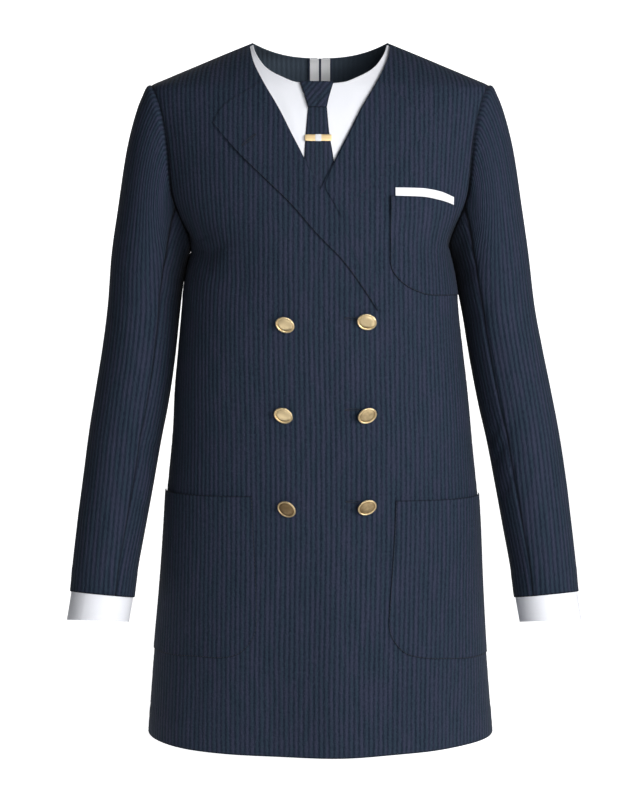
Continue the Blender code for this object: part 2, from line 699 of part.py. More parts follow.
def build_lapels():
    """Both lapels, laid on the front. Each grid starts at the gorge and narrows to the lapel's foot."""
    inwards = np.linspace(0, 1, 7)
    sets = (
        ("lapel_left", LEFT_LAPEL_INNER, LEFT_LAPEL_OUTER, LEFT_LAPEL_TOP, 20),
        ("lapel_right", RIGHT_LAPEL_INNER, RIGHT_LAPEL_OUTER, RIGHT_LAPEL_TOP, 14),
    )
    for name, inner, outer, top, columns in sets:
        share = np.linspace(0, 1, columns)
        grid = between(along(inner, share), along(outer, share), inwards)
        bulge = along(top, inwards) - grid[:, 0]
        grid = grid + bulge[:, None] * ((1 - share) ** 4)[None, :, None]
        patch(name, on_q(grid), LAPEL_LAYER, "seersucker")


def q_line(points, end, count):
    """Evenly spaced q, z along a line of x, z points that ends at a given q, z."""
    scale = np.array([QUARTER_ARC, 1.0])
    line = np.concatenate([on_q(points), [end]]) * scale
    return along(line, np.linspace(0, 1, count)) / scale


def hip_pocket(name, side_name):
    """A patch pocket from its inner edge round to the side seam, gaping a little at its mouth."""
    columns = 15
    sign = 1 if side_name == "right" else -1
    start = on_q(HIP_MOUTH[side_name])
    low = HIP_LOWER[side_name]
    lower = q_line(low, (sign * POCKET_END_Q, low[-1][1] - HIP_LOWER_FALL), columns)
    mouth = np.linspace(start, (sign * POCKET_END_Q, start[1] - HIP_MOUTH_FALL), columns)
    down = np.asarray(HIP_ROWS)
    across = np.linspace(0, 1, columns)
    gape = HIP_GAPE * (1 - down[:, None]) ** 4 * (HIP_GAPE_INNER + (1 - HIP_GAPE_INNER) * across)
    patch(name, between(mouth, lower, down), PATCH_LAYER, "seersucker", lift=gape)


def build_pockets():
    """Two hip pockets, the breast pocket and the white square in its mouth."""
    hip_pocket("hip_pocket_left", "left")
    hip_pocket("hip_pocket_right", "right")
    down = np.asarray(BREAST_ROWS)
    mouth = q_line(BREAST_MOUTH, BREAST_MOUTH_END, BREAST_COLUMNS)
    grid = between(mouth, q_line(BREAST_LOWER, BREAST_LOWER_END, BREAST_COLUMNS), down)
    inner_edge = on_q(between(np.array([BREAST_MOUTH[0]]), np.array([BREAST_LOWER[0]], float), down))
    straighten = inner_edge[..., 0] - grid[:, :1, 0]
    grid[..., 0] += straighten * (1 - np.linspace(0, 1, BREAST_COLUMNS)) ** 2
    gape_from, gape_to = BREAST_GAPE_FALL
    fall = np.clip((down - gape_from) / (gape_to - gape_from), 0, 1)
    gape = BREAST_GAPE * (1 - fall * fall * (3 - 2 * fall))[:, None]
    bridge = BREAST_BRIDGE * np.exp(-((grid[..., 1] - BREAST_BRIDGE_Z) / BREAST_BRIDGE_HALF) ** 2)
    patch("breast_pocket", grid, PATCH_LAYER, "seersucker", lift=gape + bridge)
    share = np.linspace(0, 1, 10)
    square = on_q(between(along(SQUARE_TOP, share), along(SQUARE_FOOT, share), (0, 0.5, 1)))
    patch("pocket_square", square, SQUARE_LAYER, "shirting")


def build_sleeves():
    """Top sleeve, undersleeve and cuff of each arm."""
    steps = int(SLEEVE_SEAM // ARMHOLE_STEP)
    inside_seam = SLEEVE_SEAM - SLEEVE_SEAM_GAP
    over = ARMHOLE_STEP * np.arange(-steps, steps + 1)
    over[[0, -1]] = (-inside_seam, inside_seam)
    under = ARMHOLE_STEP * np.arange(steps, 2 * ARMHOLE_STEPS - steps + 1)
    under[[0, -1]] = (SLEEVE_SEAM + SLEEVE_SEAM_GAP, 360 - SLEEVE_SEAM - SLEEVE_SEAM_GAP)
    round_arm = ARMHOLE_STEP * np.arange(2 * ARMHOLE_STEPS)
    places = np.asarray(SLEEVE_PLACES)
    cuff_places = np.asarray(CUFF_PLACES)
    for side_name, side in (("left", -1), ("right", 1)):
        name = "topsleeve_" + side_name
        sleeve_piece(name, side, over, places, finish_of(name, "seersucker"))
        name = "undersleeve_" + side_name
        sleeve_piece(name, side, under, places, finish_of(name, "seersucker"))
        name = "cuff_" + side_name
        finish = finish_of(name, "shirting")
        sleeve_piece(name, side, round_arm, cuff_places, finish, SHIRTING, CUFF_INSET, True)


def turned(name, profile, top, finish):
    """A solid turned about +Z from a profile of radius and height, closed by a point at each end."""
    turn = np.linspace(0, 2 * math.pi, BUTTON_SEGMENTS, endpoint=False)
    rings = []
    for radius, height in profile:
        rings.append(np.stack([radius * np.cos(turn), radius * np.sin(turn), np.full(len(turn), height)], -1))
    points = np.concatenate([[[0, 0, 0]], *rings, [[0, 0, top]]])
    count = BUTTON_SEGMENTS
    last = len(points) - 1
    faces = []
    for c in range(count):
        following = (c + 1) % count
        faces.append((0, 1 + following, 1 + c))
        faces.append((last, last - count + c, last - count + following))
        for r in range(len(profile) - 1):
            low = 1 + r * count
            faces.append((low + c, low + following, low + count + following, low + count + c))
    obj = add_mesh(name, points, faces, finish)
    face_outwards(obj)
    return obj


def build_buttons():
    """Six gilt shank buttons, each hanging a little forward on its shank."""
    for name, x, z, droop, lean in BUTTONS:
        foot = front_view(np.array(x), np.array(z), FRONT, BUTTON_FOOT_OUT)
        out = form_normal(q_at(x, z, FRONT), np.array(z), FRONT)
        downwards = Vector((math.sin(math.radians(lean)), 0.0, -math.cos(math.radians(lean))))
        bend = math.tan(math.radians(droop))
        axis = (Vector(out) + downwards * bend).normalized()
        button = turned(name, BUTTON_PROFILE, BUTTON_TOP, finish_of(name, "gilt"))
        place = Matrix.Translation(Vector(foot) * METRES) @ axis.to_track_quat("Z", "Y").to_matrix().to_4x4()
        button.matrix_world = place


def centre_back_rows(z_low, z_high):
    """The heights of the back's own rows at its centre between two heights, and the upper height."""
    top = -BACK_NECK_DROP
    rows = np.concatenate([
        lower_rows(),
        UNDERARM_Z + (top - UNDERARM_Z) * armhole_share()[1:],
    ])
    least = 2.0
    inside = rows[(rows > z_low) & (rows < z_high - least)]
    return np.concatenate([inside, [z_high]])


def build_tapes():
    """The zip's tape and the woven neck tape, inside the centre back."""
    for name, half, span, layer, stuff in (
        ("zip_tape", ZIP_TAPE_HALF, ZIP_TAPE_Z, ZIP_TAPE_LAYER, "zip_cloth"),
        ("neck_tape", NECK_TAPE_HALF, NECK_TAPE_Z, NECK_TAPE_LAYER, "tape"),
    ):
        z = centre_back_rows(*span)
        x = np.linspace(-half, half, 5)
        grid = np.stack(np.broadcast_arrays(x[None, :] + ring(z)[4][:, None], z[:, None]), -1)
        patch(name, on_q(grid, BACK), layer, stuff, side=BACK)


def zip_place():
    """The slider's frame: X across, Y down the back, Z out of it."""
    z = np.array(SLIDER_Z)
    origin = front_view(np.array(0.0), z, BACK)
    out = Vector(form_normal(np.array(0.0), z, BACK))
    across = Vector((1.0, 0.0, 0.0))
    down = out.cross(across)
    turn = Matrix((across, down, out)).transposed().to_4x4()
    return Matrix.Translation(Vector(origin) * METRES) @ turn


def box(name, x, y, z, finish):
    """A plain block between two limits on each axis."""
    points = [(x[i & 1], y[i >> 1 & 1], z[i >> 2 & 1]) for i in range(8)]
    faces = [(0, 2, 3, 1), (4, 5, 7, 6), (0, 1, 5, 4), (2, 6, 7, 3), (0, 4, 6, 2), (1, 3, 7, 5)]
    obj = add_mesh(name, points, faces, finish)
    face_outwards(obj)
    return obj


def prism(name, outline, holes_end, z, finish):
    """A plate of an outline with one rectangular window, as a ring of quads between both."""
    outer = np.asarray(outline, float)
    inner = np.asarray(holes_end, float)
    count = len(outer)
    levels = [np.column_stack([loop, np.full(count, level)]) for level in z for loop in (outer, inner)]
    points = np.concatenate(levels)
    faces = []
    for c in range(count):
        n = (c + 1) % count
        faces.append((c, n, count + n, count + c))
        faces.append((2 * count + c, 3 * count + c, 3 * count + n, 2 * count + n))
        faces.append((c, 2 * count + c, 2 * count + n, n))
        faces.append((count + c, count + n, 3 * count + n, 3 * count + c))
    obj = add_mesh(name, points, faces, finish)
    face_outwards(obj)
    return obj


def build_zip():
    """The slider with its arch, and the pull tab that hangs from the arch and swings about X."""
    place = zip_place()
    wide = (-SLIDER_HALF_WIDTH, SLIDER_HALF_WIDTH)
    slider = box("zip_slider", wide, SLIDER_RUN, SLIDER_LAYER, finish_of("zip_slider", "navy_enamel"))
    slider.matrix_world = place
    narrow = (-ARCH_HALF_WIDTH, ARCH_HALF_WIDTH)
    inner, outer = ARCH_RUN
    foot = SLIDER_LAYER[1] - ARCH_SUNK
    top = ARCH_LAYER[1]
    loop_outer = [(-outer, foot), (outer, foot), (outer, top), (-outer, top)]
    sill = foot + ARCH_WINDOW_UP
    loop_inner = [(-inner, sill), (inner, sill), (inner, ARCH_LAYER[0]), (-inner, ARCH_LAYER[0])]
    arch = prism("zip_arch_guide", loop_outer, loop_inner, narrow, finish_of("zip_arch", "navy_enamel"))
    upright = Matrix(((0, 0, 1, 0), (1, 0, 0, 0), (0, 1, 0, 0), (0, 0, 0, 1)))
    arch.matrix_world = place @ upright
    arch.hide_render = True
    arch.display_type = "WIRE"
    union = slider.modifiers.new("arch", "BOOLEAN")
    union.operation = "UNION"
    union.solver = "EXACT"
    union.object = arch

    width = PULL_HALF_WIDTH
    hole = PULL_HOLE_HALF
    bar = PULL_BAR_HALF
    end = PULL_HOLE_END
    long = PULL_LENGTH
    shoulder = end + PULL_SHOULDER
    waist = end + PULL_WAIST
    flare = long - PULL_FOOT
    right_edge = [
        (width, -bar),
        (width, shoulder),
        (PULL_WAIST_HALF, waist),
        (PULL_FOOT_HALF, flare),
        (PULL_TIP_HALF, long),
    ]
    first, second = PULL_WINDOW_STEPS
    right_hole = [(hole, bar), (hole, end - first), (hole, end - second), (hole, end), (second, end)]
    outline = [(-x, y) for x, y in right_edge[:1]] + right_edge + [(-x, y) for x, y in right_edge[:0:-1]]
    window = [(-x, y) for x, y in right_hole[:1]] + right_hole + [(-x, y) for x, y in right_hole[:0:-1]]
    pull = prism("zip_pull", outline, window, (-bar, bar), finish_of("zip_pull", "navy_enamel"))
    hinge = Matrix.Translation((0, 0, HINGE_OUT * METRES)) @ Matrix.Rotation(-PULL_REST, 4, "X")
    pull.matrix_world = place @ hinge


def main():
    """Clears the scene and builds the dress."""
    for obj in list(bpy.data.objects):
        bpy.data.objects.remove(obj)
    build_body()
    build_bib()
    build_tie()
    build_lapels()
    build_pockets()
    build_sleeves()
    build_buttons()
    build_tapes()
    build_zip()


main()
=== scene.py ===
"""Looks for the navy blazer dress: cloth shells, sewing, trims, finishes and the studio.

Every shell is worked out on the same garment form as the solids, with the same named values in
millimetres, and becomes metres when its mesh is made. +Z is up and the front faces -Y. "left" and
"right" are the viewer's, looking at the front.
"""

import logging
import math
from collections.abc import Callable, Mapping, Sequence
from dataclasses import dataclass
from enum import Enum

import bpy
import numpy as np
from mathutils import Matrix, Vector


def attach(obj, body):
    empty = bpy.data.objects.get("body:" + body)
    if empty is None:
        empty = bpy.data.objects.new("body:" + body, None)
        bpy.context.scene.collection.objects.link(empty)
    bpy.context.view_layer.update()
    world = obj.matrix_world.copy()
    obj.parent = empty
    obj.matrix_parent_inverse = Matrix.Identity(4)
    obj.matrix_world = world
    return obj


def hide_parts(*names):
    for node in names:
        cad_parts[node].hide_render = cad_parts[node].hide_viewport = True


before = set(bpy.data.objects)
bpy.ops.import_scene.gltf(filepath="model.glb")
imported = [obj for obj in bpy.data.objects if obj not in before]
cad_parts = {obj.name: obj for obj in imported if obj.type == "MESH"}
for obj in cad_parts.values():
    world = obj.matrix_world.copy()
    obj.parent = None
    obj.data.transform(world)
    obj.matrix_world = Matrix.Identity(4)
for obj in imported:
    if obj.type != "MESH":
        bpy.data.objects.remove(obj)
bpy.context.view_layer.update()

LOG = logging.getLogger("blazer_dress")
METRES = 0.001
GARMENT = "garment"
# A distance beyond the reach of any seam, and the darkest painted shade beside one
FAR = 99.0
DARKEST = 0.93

Array = np.ndarray
Table = tuple[tuple[float, ...], ...]
Value = "Socket | float | Sequence[float]"


class Side(Enum):
    """Which half of the body a panel covers."""

    FRONT = -1
    BACK = 1


class Grain(Enum):
    """Which way the stripes of a piece run."""

    STRAIGHT = 0.0
    BIAS = math.radians(40.0)


def smooth_curve(at: Array | float, knots: Sequence[float], values: Sequence[float]) -> Array:
    """Monotone cubic through the knots, flat beyond both ends.

    Each span is the cubic Hermite curve whose end slopes are the harmonic mean of the neighbouring
    spans' slopes, or nought where those change sign.

    Args:
        at: Where to read the curve.
        knots: Rising places of the known values.
        values: The value at each knot.

    Returns:
        The curve's values.
    """
    knots = np.asarray(knots, float)
    values = np.asarray(values, float)
    step = np.diff(knots)
    slope = np.diff(values) / step
    tangent = np.empty(len(knots))
    tangent[0] = slope[0]
    tangent[-1] = slope[-1]
    turns = slope[:-1] * slope[1:] <= 0
    total = np.where(turns, 1.0, slope[:-1] + slope[1:])
    tangent[1:-1] = np.where(turns, 0.0, 2 * slope[:-1] * slope[1:] / total)
    at = np.clip(np.asarray(at, float), knots[0], knots[-1])
    i = np.clip(np.searchsorted(knots, at, side="right") - 1, 0, len(step) - 1)
    t = (at - knots[i]) / step[i]
    rise = (1 - t) ** 2 * (1 + 2 * t) * values[i] + t**2 * (3 - 2 * t) * values[i + 1]
    lean = t * (1 - t) * step[i] * ((1 - t) * tangent[i] - t * tangent[i + 1])
    return rise + lean


def read(table: Table, at: Array | float, column: int = 1) -> Array:
    """A column of a table as a smooth curve over the table's first column."""
    rows = np.asarray(table, float)
    return smooth_curve(at, rows[:, 0], rows[:, column])


def along(points: Sequence[Sequence[float]] | Array, share: Array) -> Array:
    """Points at these shares of the length of a smooth line through the given points."""
    points = np.asarray(points, float)
    length = np.concatenate([[0], np.cumsum(np.linalg.norm(np.diff(points, axis=0), axis=1))])
    length = length / length[-1]
    return np.stack([smooth_curve(share, length, points[:, k]) for k in range(points.shape[1])], -1)


def between(first: Array, second: Array, share: Array) -> Array:
    """A grid whose rows run from one line of points to another: first (1 - share) + second share."""
    share = np.asarray(share, float)[:, None, None]
    return first[None] * (1 - share) + second[None] * share


def eased(t: Array) -> Array:
    """The smooth step t t (3 - 2 t) of a value held between 0 and 1."""
    t = np.clip(t, 0, 1)
    return t * t * (3 - 2 * t)


def fade(at: Array, start: float, length: float) -> Array:
    """The smooth step from 0 at a start to 1 a length beyond it, or before it if negative."""
    return eased((at - start) / length)


def bell(distance: Array, reach: float = 1.0) -> Array:
    """The bell exp(-(distance / reach)^2)."""
    return np.exp(-((distance / reach) ** 2))


def steps(length: float, cell: float, near: Sequence[float] = (0.35, 0.9, 1.8, 3.0, 4.6)) -> Array:
    """Shares of a length in even cells, with finer ones at both ends.

    Args:
        length: The whole length in millimetres.
        cell: The even cell in millimetres.
        near: Distances of the finer lines from each end.

    Returns:
        Rising shares from 0 to 1.
    """
    near = np.asarray(near, float)
    count = max(int(round((length - 2 * near[-1]) / cell)), 2)
    middle = np.linspace(near[-1], length - near[-1], count + 1)
    places = np.concatenate([[0.0], near[:-1], middle, length - near[:-1][::-1], [length]])
    return places / length


def full_turn(count: int) -> Array:
    """Even angles round a full turn, without its end."""
    return np.linspace(0, 2 * math.pi, count, endpoint=False)


def unit(vectors: Array) -> Array:
    """The vectors divided by their lengths."""
    return vectors / np.maximum(np.linalg.norm(vectors, axis=-1, keepdims=True), 1e-12)


def run_lengths(points: Array, axis: int) -> Array:
    """Lengths along a grid's lines from their first points: the running sum of the cells' edges."""
    edge = np.linalg.norm(np.diff(points, axis=axis), axis=-1)
    start = np.zeros_like(np.take(edge, [0], axis=axis))
    return np.concatenate([start, np.cumsum(edge, axis=axis)], axis=axis)


def grid_normals(points: Array) -> Array:
    """Unit normals of a grid: the cross product of its column direction and its row direction."""
    across = np.gradient(points, axis=1)
    down = np.gradient(points, axis=0)
    return unit(np.cross(across, down))


@dataclass(frozen=True)
class Crease:
    """A soft trough or ridge laid on a piece, from start to end in its own two coordinates.

    The height is depth times a bell across it, with half as high a lip on both sides, times a rise
    over the first share of its length and a fall over the last one.
    """

    start_a: float
    start_b: float
    end_a: float
    end_b: float
    width: float
    depth: float
    lead: float = 0.4
    tail: float = 0.5
    bow: float = 0.0
    lips: float = 0.35
    lip_reach: float = 1.9

    def height(self, a: Array, b: Array) -> Array:
        """The crease's height at points a, b of the piece.

        Args:
            a: First coordinate of each point.
            b: Second coordinate of each point.

        Returns:
            The height at each point, in millimetres.
        """
        run_a = self.end_a - self.start_a
        run_b = self.end_b - self.start_b
        length = math.hypot(run_a, run_b)
        from_a = a - self.start_a
        from_b = b - self.start_b
        share = (from_a * run_a + from_b * run_b) / length**2
        near = np.clip(share, 0, 1)
        aside = (from_a * run_b - from_b * run_a) / length - self.bow * 4 * near * (1 - near)
        beyond = (share - near) * length
        gap = np.hypot(aside, beyond) / self.width
        shape = bell(gap) - self.lips * bell(gap, self.lip_reach)
        return self.depth * eased(near / self.lead) * eased((1 - near) / self.tail) * shape


def relief(creases: Table, a: Array, b: Array) -> Array:
    """The sum of the heights at points a, b of creases given as rows of Crease's values."""
    total = np.zeros(np.broadcast(a, b).shape)
    for row in creases:
        total = total + Crease(*row).height(a, b)
    return total


def ripple(distance: Array, run: Array, reach: float, wave: float, depth: float, phase: float = 0.0) -> Array:
    """Puckers beside a line of sewing.

    The height is depth times a bell of the distance from the line, times a sine along it whose
    phase wanders so that no two puckers are alike.

    Args:
        distance: Distance from the line of sewing.
        run: Place along the line.
        reach: Distance at which the puckers have faded.
        wave: Mean spacing of the puckers.
        depth: Their height.
        phase: Start of the pattern, so that two lines differ.

    Returns:
        The height at each point.
    """
    turn = 2 * math.pi * run / wave
    wander = 1.7 * np.sin(turn / 3.7 + phase) + 1.1 * np.sin(turn / 7.3 + 2.1 * phase)
    strength = 0.65 + 0.35 * np.sin(turn / 5.1 + 1.3 * phase)
    return depth * bell(distance, reach) * strength * np.sin(turn + wander + phase)


@dataclass(frozen=True)
class Seam:
    """How cloth lies beside a seam: a valley along it, and a soft roll some way off."""

    depth: float
    reach: float
    roll: float
    roll_at: float = 6.5
    roll_reach: float = 3.5

    def height(self, distance: Array) -> Array:
        """The roll's bell less the valley's bell at a distance from the seam."""
        rolled = self.roll * bell(distance - self.roll_at, self.roll_reach)
        return rolled - self.depth * bell(distance, self.reach)


@dataclass(frozen=True)
class GarmentForm:
    """The dress's body: level rings whose half width, depths and squareness come from a table."""

    # Height, half width, front depth, back depth, squareness, x of the middle
    rings: Table = (
        (-812, 205.0, 127.0, 129.0, 2.02, 0.0), (-737, 199.0, 126.0, 127.5, 2.12, 0.0),
        (-640, 191.0, 125.0, 124.0, 2.22, 1.2), (-544, 184.5, 123.5, 118.0, 2.32, 2.5),
        (-449, 175.0, 121.5, 109.0, 2.40, 2.3), (-402, 171.5, 120.5, 105.0, 2.40, 1.2),
        (-355, 166.5, 120.5, 103.0, 2.40, 0.5), (-308, 161.6, 121.5, 103.5, 2.40, 0.0),
        (-284, 159.7, 121.5, 104.6, 2.39, 0.0), (-266, 156.7, 121.5, 105.8, 2.38, 0.0),
        (-252, 153.6, 120.8, 106.7, 2.37, 0.0), (-236, 150.0, 119.5, 108.0, 2.35, 0.0),
        (-222, 153.6, 118.8, 109.2, 2.33, 0.0), (-205, 162.0, 117.5, 110.2, 2.32, 0.0),
        (-187, 171.5, 115.0, 111.0, 2.30, 0.0), (-170, 178.0, 112.0, 111.0, 2.30, 0.0),
        (-150, 183.0, 107.0, 110.0, 2.28, 0.0), (-130, 187.0, 101.0, 108.0, 2.26, 0.0),
        (-105, 192.5, 92.5, 104.0, 2.24, 0.0), (-77, 200.0, 81.0, 97.5, 2.22, 0.0),
        (-60, 203.5, 72.0, 91.0, 2.20, 0.0), (-52, 201.5, 67.2, 87.0, 2.20, 0.0),
        (-47, 194.0, 64.0, 84.0, 2.20, 0.0), (-35, 163.6, 54.5, 76.0, 2.20, 0.0),
        (-22, 130.8, 42.5, 65.0, 2.20, 0.0), (-14, 110.6, 34.0, 57.0, 2.20, 0.0),
        (-8, 95.5, 25.0, 46.0, 2.20, 0.0), (-3, 82.8, 15.0, 30.0, 2.20, 0.0),
        (1.5, 78.0, 5.0, 14.0, 2.20, 0.0),
    )
    # The armhole's line in the front view: height, half width
    armhole: Table = (
        (-236, 150.0), (-232, 149.8), (-222, 151.6), (-205, 158.0), (-187, 165.5), (-170, 170.0),
        (-150, 172.0), (-130, 173.5), (-105, 176.5), (-77, 182.0), (-60, 188.0), (-47, 194.0),
    )
    # Long soft folds: side, start arc and z, end arc and z, half width, depth
    folds: Table = (
        (-1, -118, -238, -196, -206, 16, -3.0), (-1, -74, -268, -186, -236, 20, -2.5),
        (-1, 14, -812, 12, -400, 26, 3.0), (-1, -34, -812, -30, -520, 24, -2.5),
        (-1, 58, -812, 60, -500, 26, -2.5), (-1, -108, -812, -112, -716, 32, 2.5),
        (-1, 118, -812, 122, -722, 32, -2.5), (1, 96, -812, 70, -470, 28, 3.0),
        (1, 32, -812, 26, -560, 26, -3.0), (1, -104, -812, -84, -500, 28, 3.5),
        (1, -48, -812, -36, -600, 26, -3.0), (1, 60, -330, 190, -240, 20, -2.5),
        (1, -66, -322, -190, -238, 22, -3.0),
    )
    hem_z: float = -810.0
    underarm_z: float = -236.0
    shoulder_tip: tuple[float, float] = (194.0, -47.0)
    neck_point: tuple[float, float] = (78.0, 1.5)
    back_neck_drop: float = 12.8
    back_neck_flatness: float = 2.4
    half_seam_gap: float = 0.005
    quarter_arc: float = 200.0
    fold_free_edge: float = 0.22

    def ring(self, z: Array) -> list[Array]:
        """Half width, front depth, back depth, squareness and middle x of the ring at each height."""
        values = [read(self.rings, z, column) for column in range(1, 6)]
        tip_x, tip_z = self.shoulder_tip
        neck_x, neck_z = self.neck_point
        seam = tip_x + (np.asarray(z) - tip_z) / (neck_z - tip_z) * (neck_x - tip_x)
        values[0] = np.where(np.asarray(z) > tip_z, seam, values[0])
        return values

    def armhole_x(self, z: Array) -> Array:
        """Half width of the armhole's line at each height."""
        return read(self.armhole, z)

    def turn_of(self, z: Array) -> Array:
        """The angle from the middle that a panel reaches: 90 degrees, or less beside the armhole."""
        half, _, _, squareness, _ = self.ring(z)
        cut = np.minimum(self.armhole_x(z) / half, 1)
        beside = (np.asarray(z) > self.underarm_z) & (np.asarray(z) < self.shoulder_tip[1])
        x = np.where(beside, cut, 1.0)
        y = np.maximum(1 - x**squareness, 0) ** (1 / squareness)
        return np.arctan2(x, y)

    def ring_point(self, angle: Array, z: Array, side: Side) -> Array:
        """The ring's point at an angle from the middle of the front or back.

        With radius r = (|sin|^n + |cos|^n)^(-1/n), x is the middle plus half width times r sin and y
        is depth times r cos, so n = 2 is an ellipse and a larger n is squarer.

        Args:
            angle: Angle from the middle, in radians.
            z: Height.
            side: Front or back.

        Returns:
            The points.
        """
        half, front, back, squareness, middle = self.ring(z)
        sine = np.sin(angle)
        cosine = np.cos(angle)
        radius = (np.abs(sine) ** squareness + np.abs(cosine) ** squareness) ** (-1 / squareness)
        depth = front if side is Side.FRONT else back
        x = middle + half * radius * sine
        y = side.value * (depth * radius * cosine + self.half_seam_gap)
        return np.stack([x, y, np.asarray(z, float) + 0 * angle], -1)

    def q_at(self, x: Array, z: Array) -> Array:
        """The panel coordinate q, -1 to 1 from edge to edge, of the form's point at x, z."""
        half, _, _, squareness, middle = self.ring(z)
        away = x - middle
        reach = np.clip(np.abs(away) / half, 0, 1)
        y = np.maximum(1 - reach**squareness, 0) ** (1 / squareness)
        return np.sign(away) * np.clip(np.arctan2(reach, y) / self.turn_of(z), 0, 1)

    def on_q(self, points: Array) -> Array:
        """Turns x, z points of the front view into q, z."""
        points = np.asarray(points, float)
        return np.stack([self.q_at(points[..., 0], points[..., 1]), points[..., 1]], -1)

    def normal(self, q: Array, z: Array, side: Side) -> Array:
        """Outward unit normals: the cross product of a small step round the ring and one up it."""
        small_angle = 1e-4
        small_drop = 0.02
        angle = q * self.turn_of(z)
        across = self.ring_point(angle + small_angle, z, side) - self.ring_point(angle - small_angle, z, side)
        up = self.ring_point(angle, z, side) - self.ring_point(angle, z - small_drop, side)
        return unit(np.cross(across, up) * -side.value)

    def fold_height(self, q: Array, z: Array, side: Side) -> Array:
        """Height of the long soft folds, a bell across each and a fade to nothing at its upper end."""
        arc = q * self.quarter_arc
        total = np.zeros(np.broadcast(q, z).shape)
        for where, arc_0, z_0, arc_1, z_1, half_width, depth in self.folds:
            if where != side.value:
                continue
            run = np.array([arc_1 - arc_0, z_1 - z_0])
            share = ((arc - arc_0) * run[0] + (z - z_0) * run[1]) / (run @ run)
            near = np.clip(share, 0, 1)
            gap = np.hypot(arc - arc_0 - near * run[0], z - z_0 - near * run[1])
            total = total + depth * (1 - near**2) ** 2 * bell(gap, half_width)
        return total * eased((1 - np.abs(q)) / self.fold_free_edge)

    def place(self, q: Array, z: Array, side: Side, out: Array | float = 0.0) -> Array:
        """Points on the folded cloth, moved out of it by a distance."""
        lift = self.fold_height(q, z, side) + out
        return self.ring_point(q * self.turn_of(z), z, side) + self.normal(q, z, side) * lift[..., None]

    def front_place(self, x: Array, z: Array, out: Array | float = 0.0) -> Array:
        """Points on the folded front at x, z of the front view."""
        return self.place(self.q_at(x, z), z, Side.FRONT, out)

    def arc(self, q: Array, z: Array, side: Side) -> Array:
        """Length round the level ring from the middle to q: the sum of 24 short chords."""
        parts = 24
        angle = q * self.turn_of(z)
        turn = angle[..., None] * np.linspace(0, 1, parts + 1)
        points = self.ring_point(turn, np.broadcast_to(z[..., None], turn.shape), side)
        return np.sign(q) * np.linalg.norm(np.diff(points, axis=-2), axis=-1).sum(-1)

    def tops(self, u: Array, neck_u: float, neck_line: Table) -> tuple[Array, Array]:
        """Where each column of a panel ends: on the neck edge inside neck_u, on the shoulder outside."""
        crowding = 1.5
        size = np.abs(u)
        tip_x, tip_z = self.shoulder_tip
        inner_x, inner_z = neck_line[0]
        share = np.clip((size - neck_u) / (1 - neck_u), 0, 1)
        neck = along(neck_line, (1 - np.clip(size / neck_u, 0, 1)) ** crowding)
        in_neck = size < neck_u
        x = np.where(in_neck, neck[..., 0], inner_x + (tip_x - inner_x) * share)
        z = np.where(in_neck, neck[..., 1], inner_z + (tip_z - inner_z) * share)
        return x, z

    def panel(self, u: Array, neck_u: float, neck_line: Table, side: Side, low: Array, high: Array) -> Array:
        """The q, z grid of a body panel.

        Level rows rise to the underarm. Above it each column runs to its own place on the neck edge
        or the shoulder, and keeps an even share of the armhole's half width on the way.

        Args:
            u: Column places from -1 to 1.
            neck_u: The column where the neck edge meets the shoulder.
            neck_line: The neck edge, x and z, from the shoulder inwards.
            side: Front or back.
            low: Shares of the height below the underarm.
            high: Shares of the height above it, without the first.

        Returns:
            The grid of q and z.
        """
        z_low = self.hem_z + (self.underarm_z - self.hem_z) * low
        q_low = np.broadcast_to(u, (len(low), len(u)))
        z_low = np.broadcast_to(z_low[:, None], q_low.shape)
        top_x, top_z = self.tops(u, neck_u, neck_line)
        base_z = np.full(len(u), self.underarm_z)
        base = self.ring_point(u * self.turn_of(base_z), base_z, side)[:, 0]
        share = high[:, None]
        z_high = self.underarm_z + (top_z - self.underarm_z) * share
        start = np.abs(base) / self.armhole_x(self.underarm_z)
        end = top_x / self.armhole_x(top_z)
        x_high = (start + (end - start) * share) * self.armhole_x(z_high) * np.sign(u)
        q_high = self.q_at(x_high, z_high)
        at_edge = (np.abs(u) > 1 - 1e-9) | ((share > 1 - 1e-9) & (np.abs(u) >= neck_u - 1e-9))
        q_high = np.where(at_edge, np.sign(u), q_high)
        return np.stack([np.concatenate([q_low, q_high]), np.concatenate([z_low, z_high])], -1)

    def armhole_line(self, angle: Array, side: Side) -> tuple[Array, Array, Array]:
        """The right armhole's points, the way out of the panel and its normals. Angle 0 is the tip."""
        small_turn = 0.01
        middle = (self.underarm_z + self.shoulder_tip[1]) / 2
        half = (self.shoulder_tip[1] - self.underarm_z) / 2

        def at(turn: Array) -> Array:
            """The armhole's point at a turn round it."""
            z = middle + half * np.cos(np.clip(turn, 0, math.pi))
            return self.ring_point(self.turn_of(z), z, side)

        tangent = at(angle + small_turn) - at(angle - small_turn)
        z = middle + half * np.cos(np.clip(angle, 0, math.pi))
        normal = self.normal(np.ones_like(z), z, side)
        return at(angle), unit(side.value * np.cross(tangent, normal)), normal


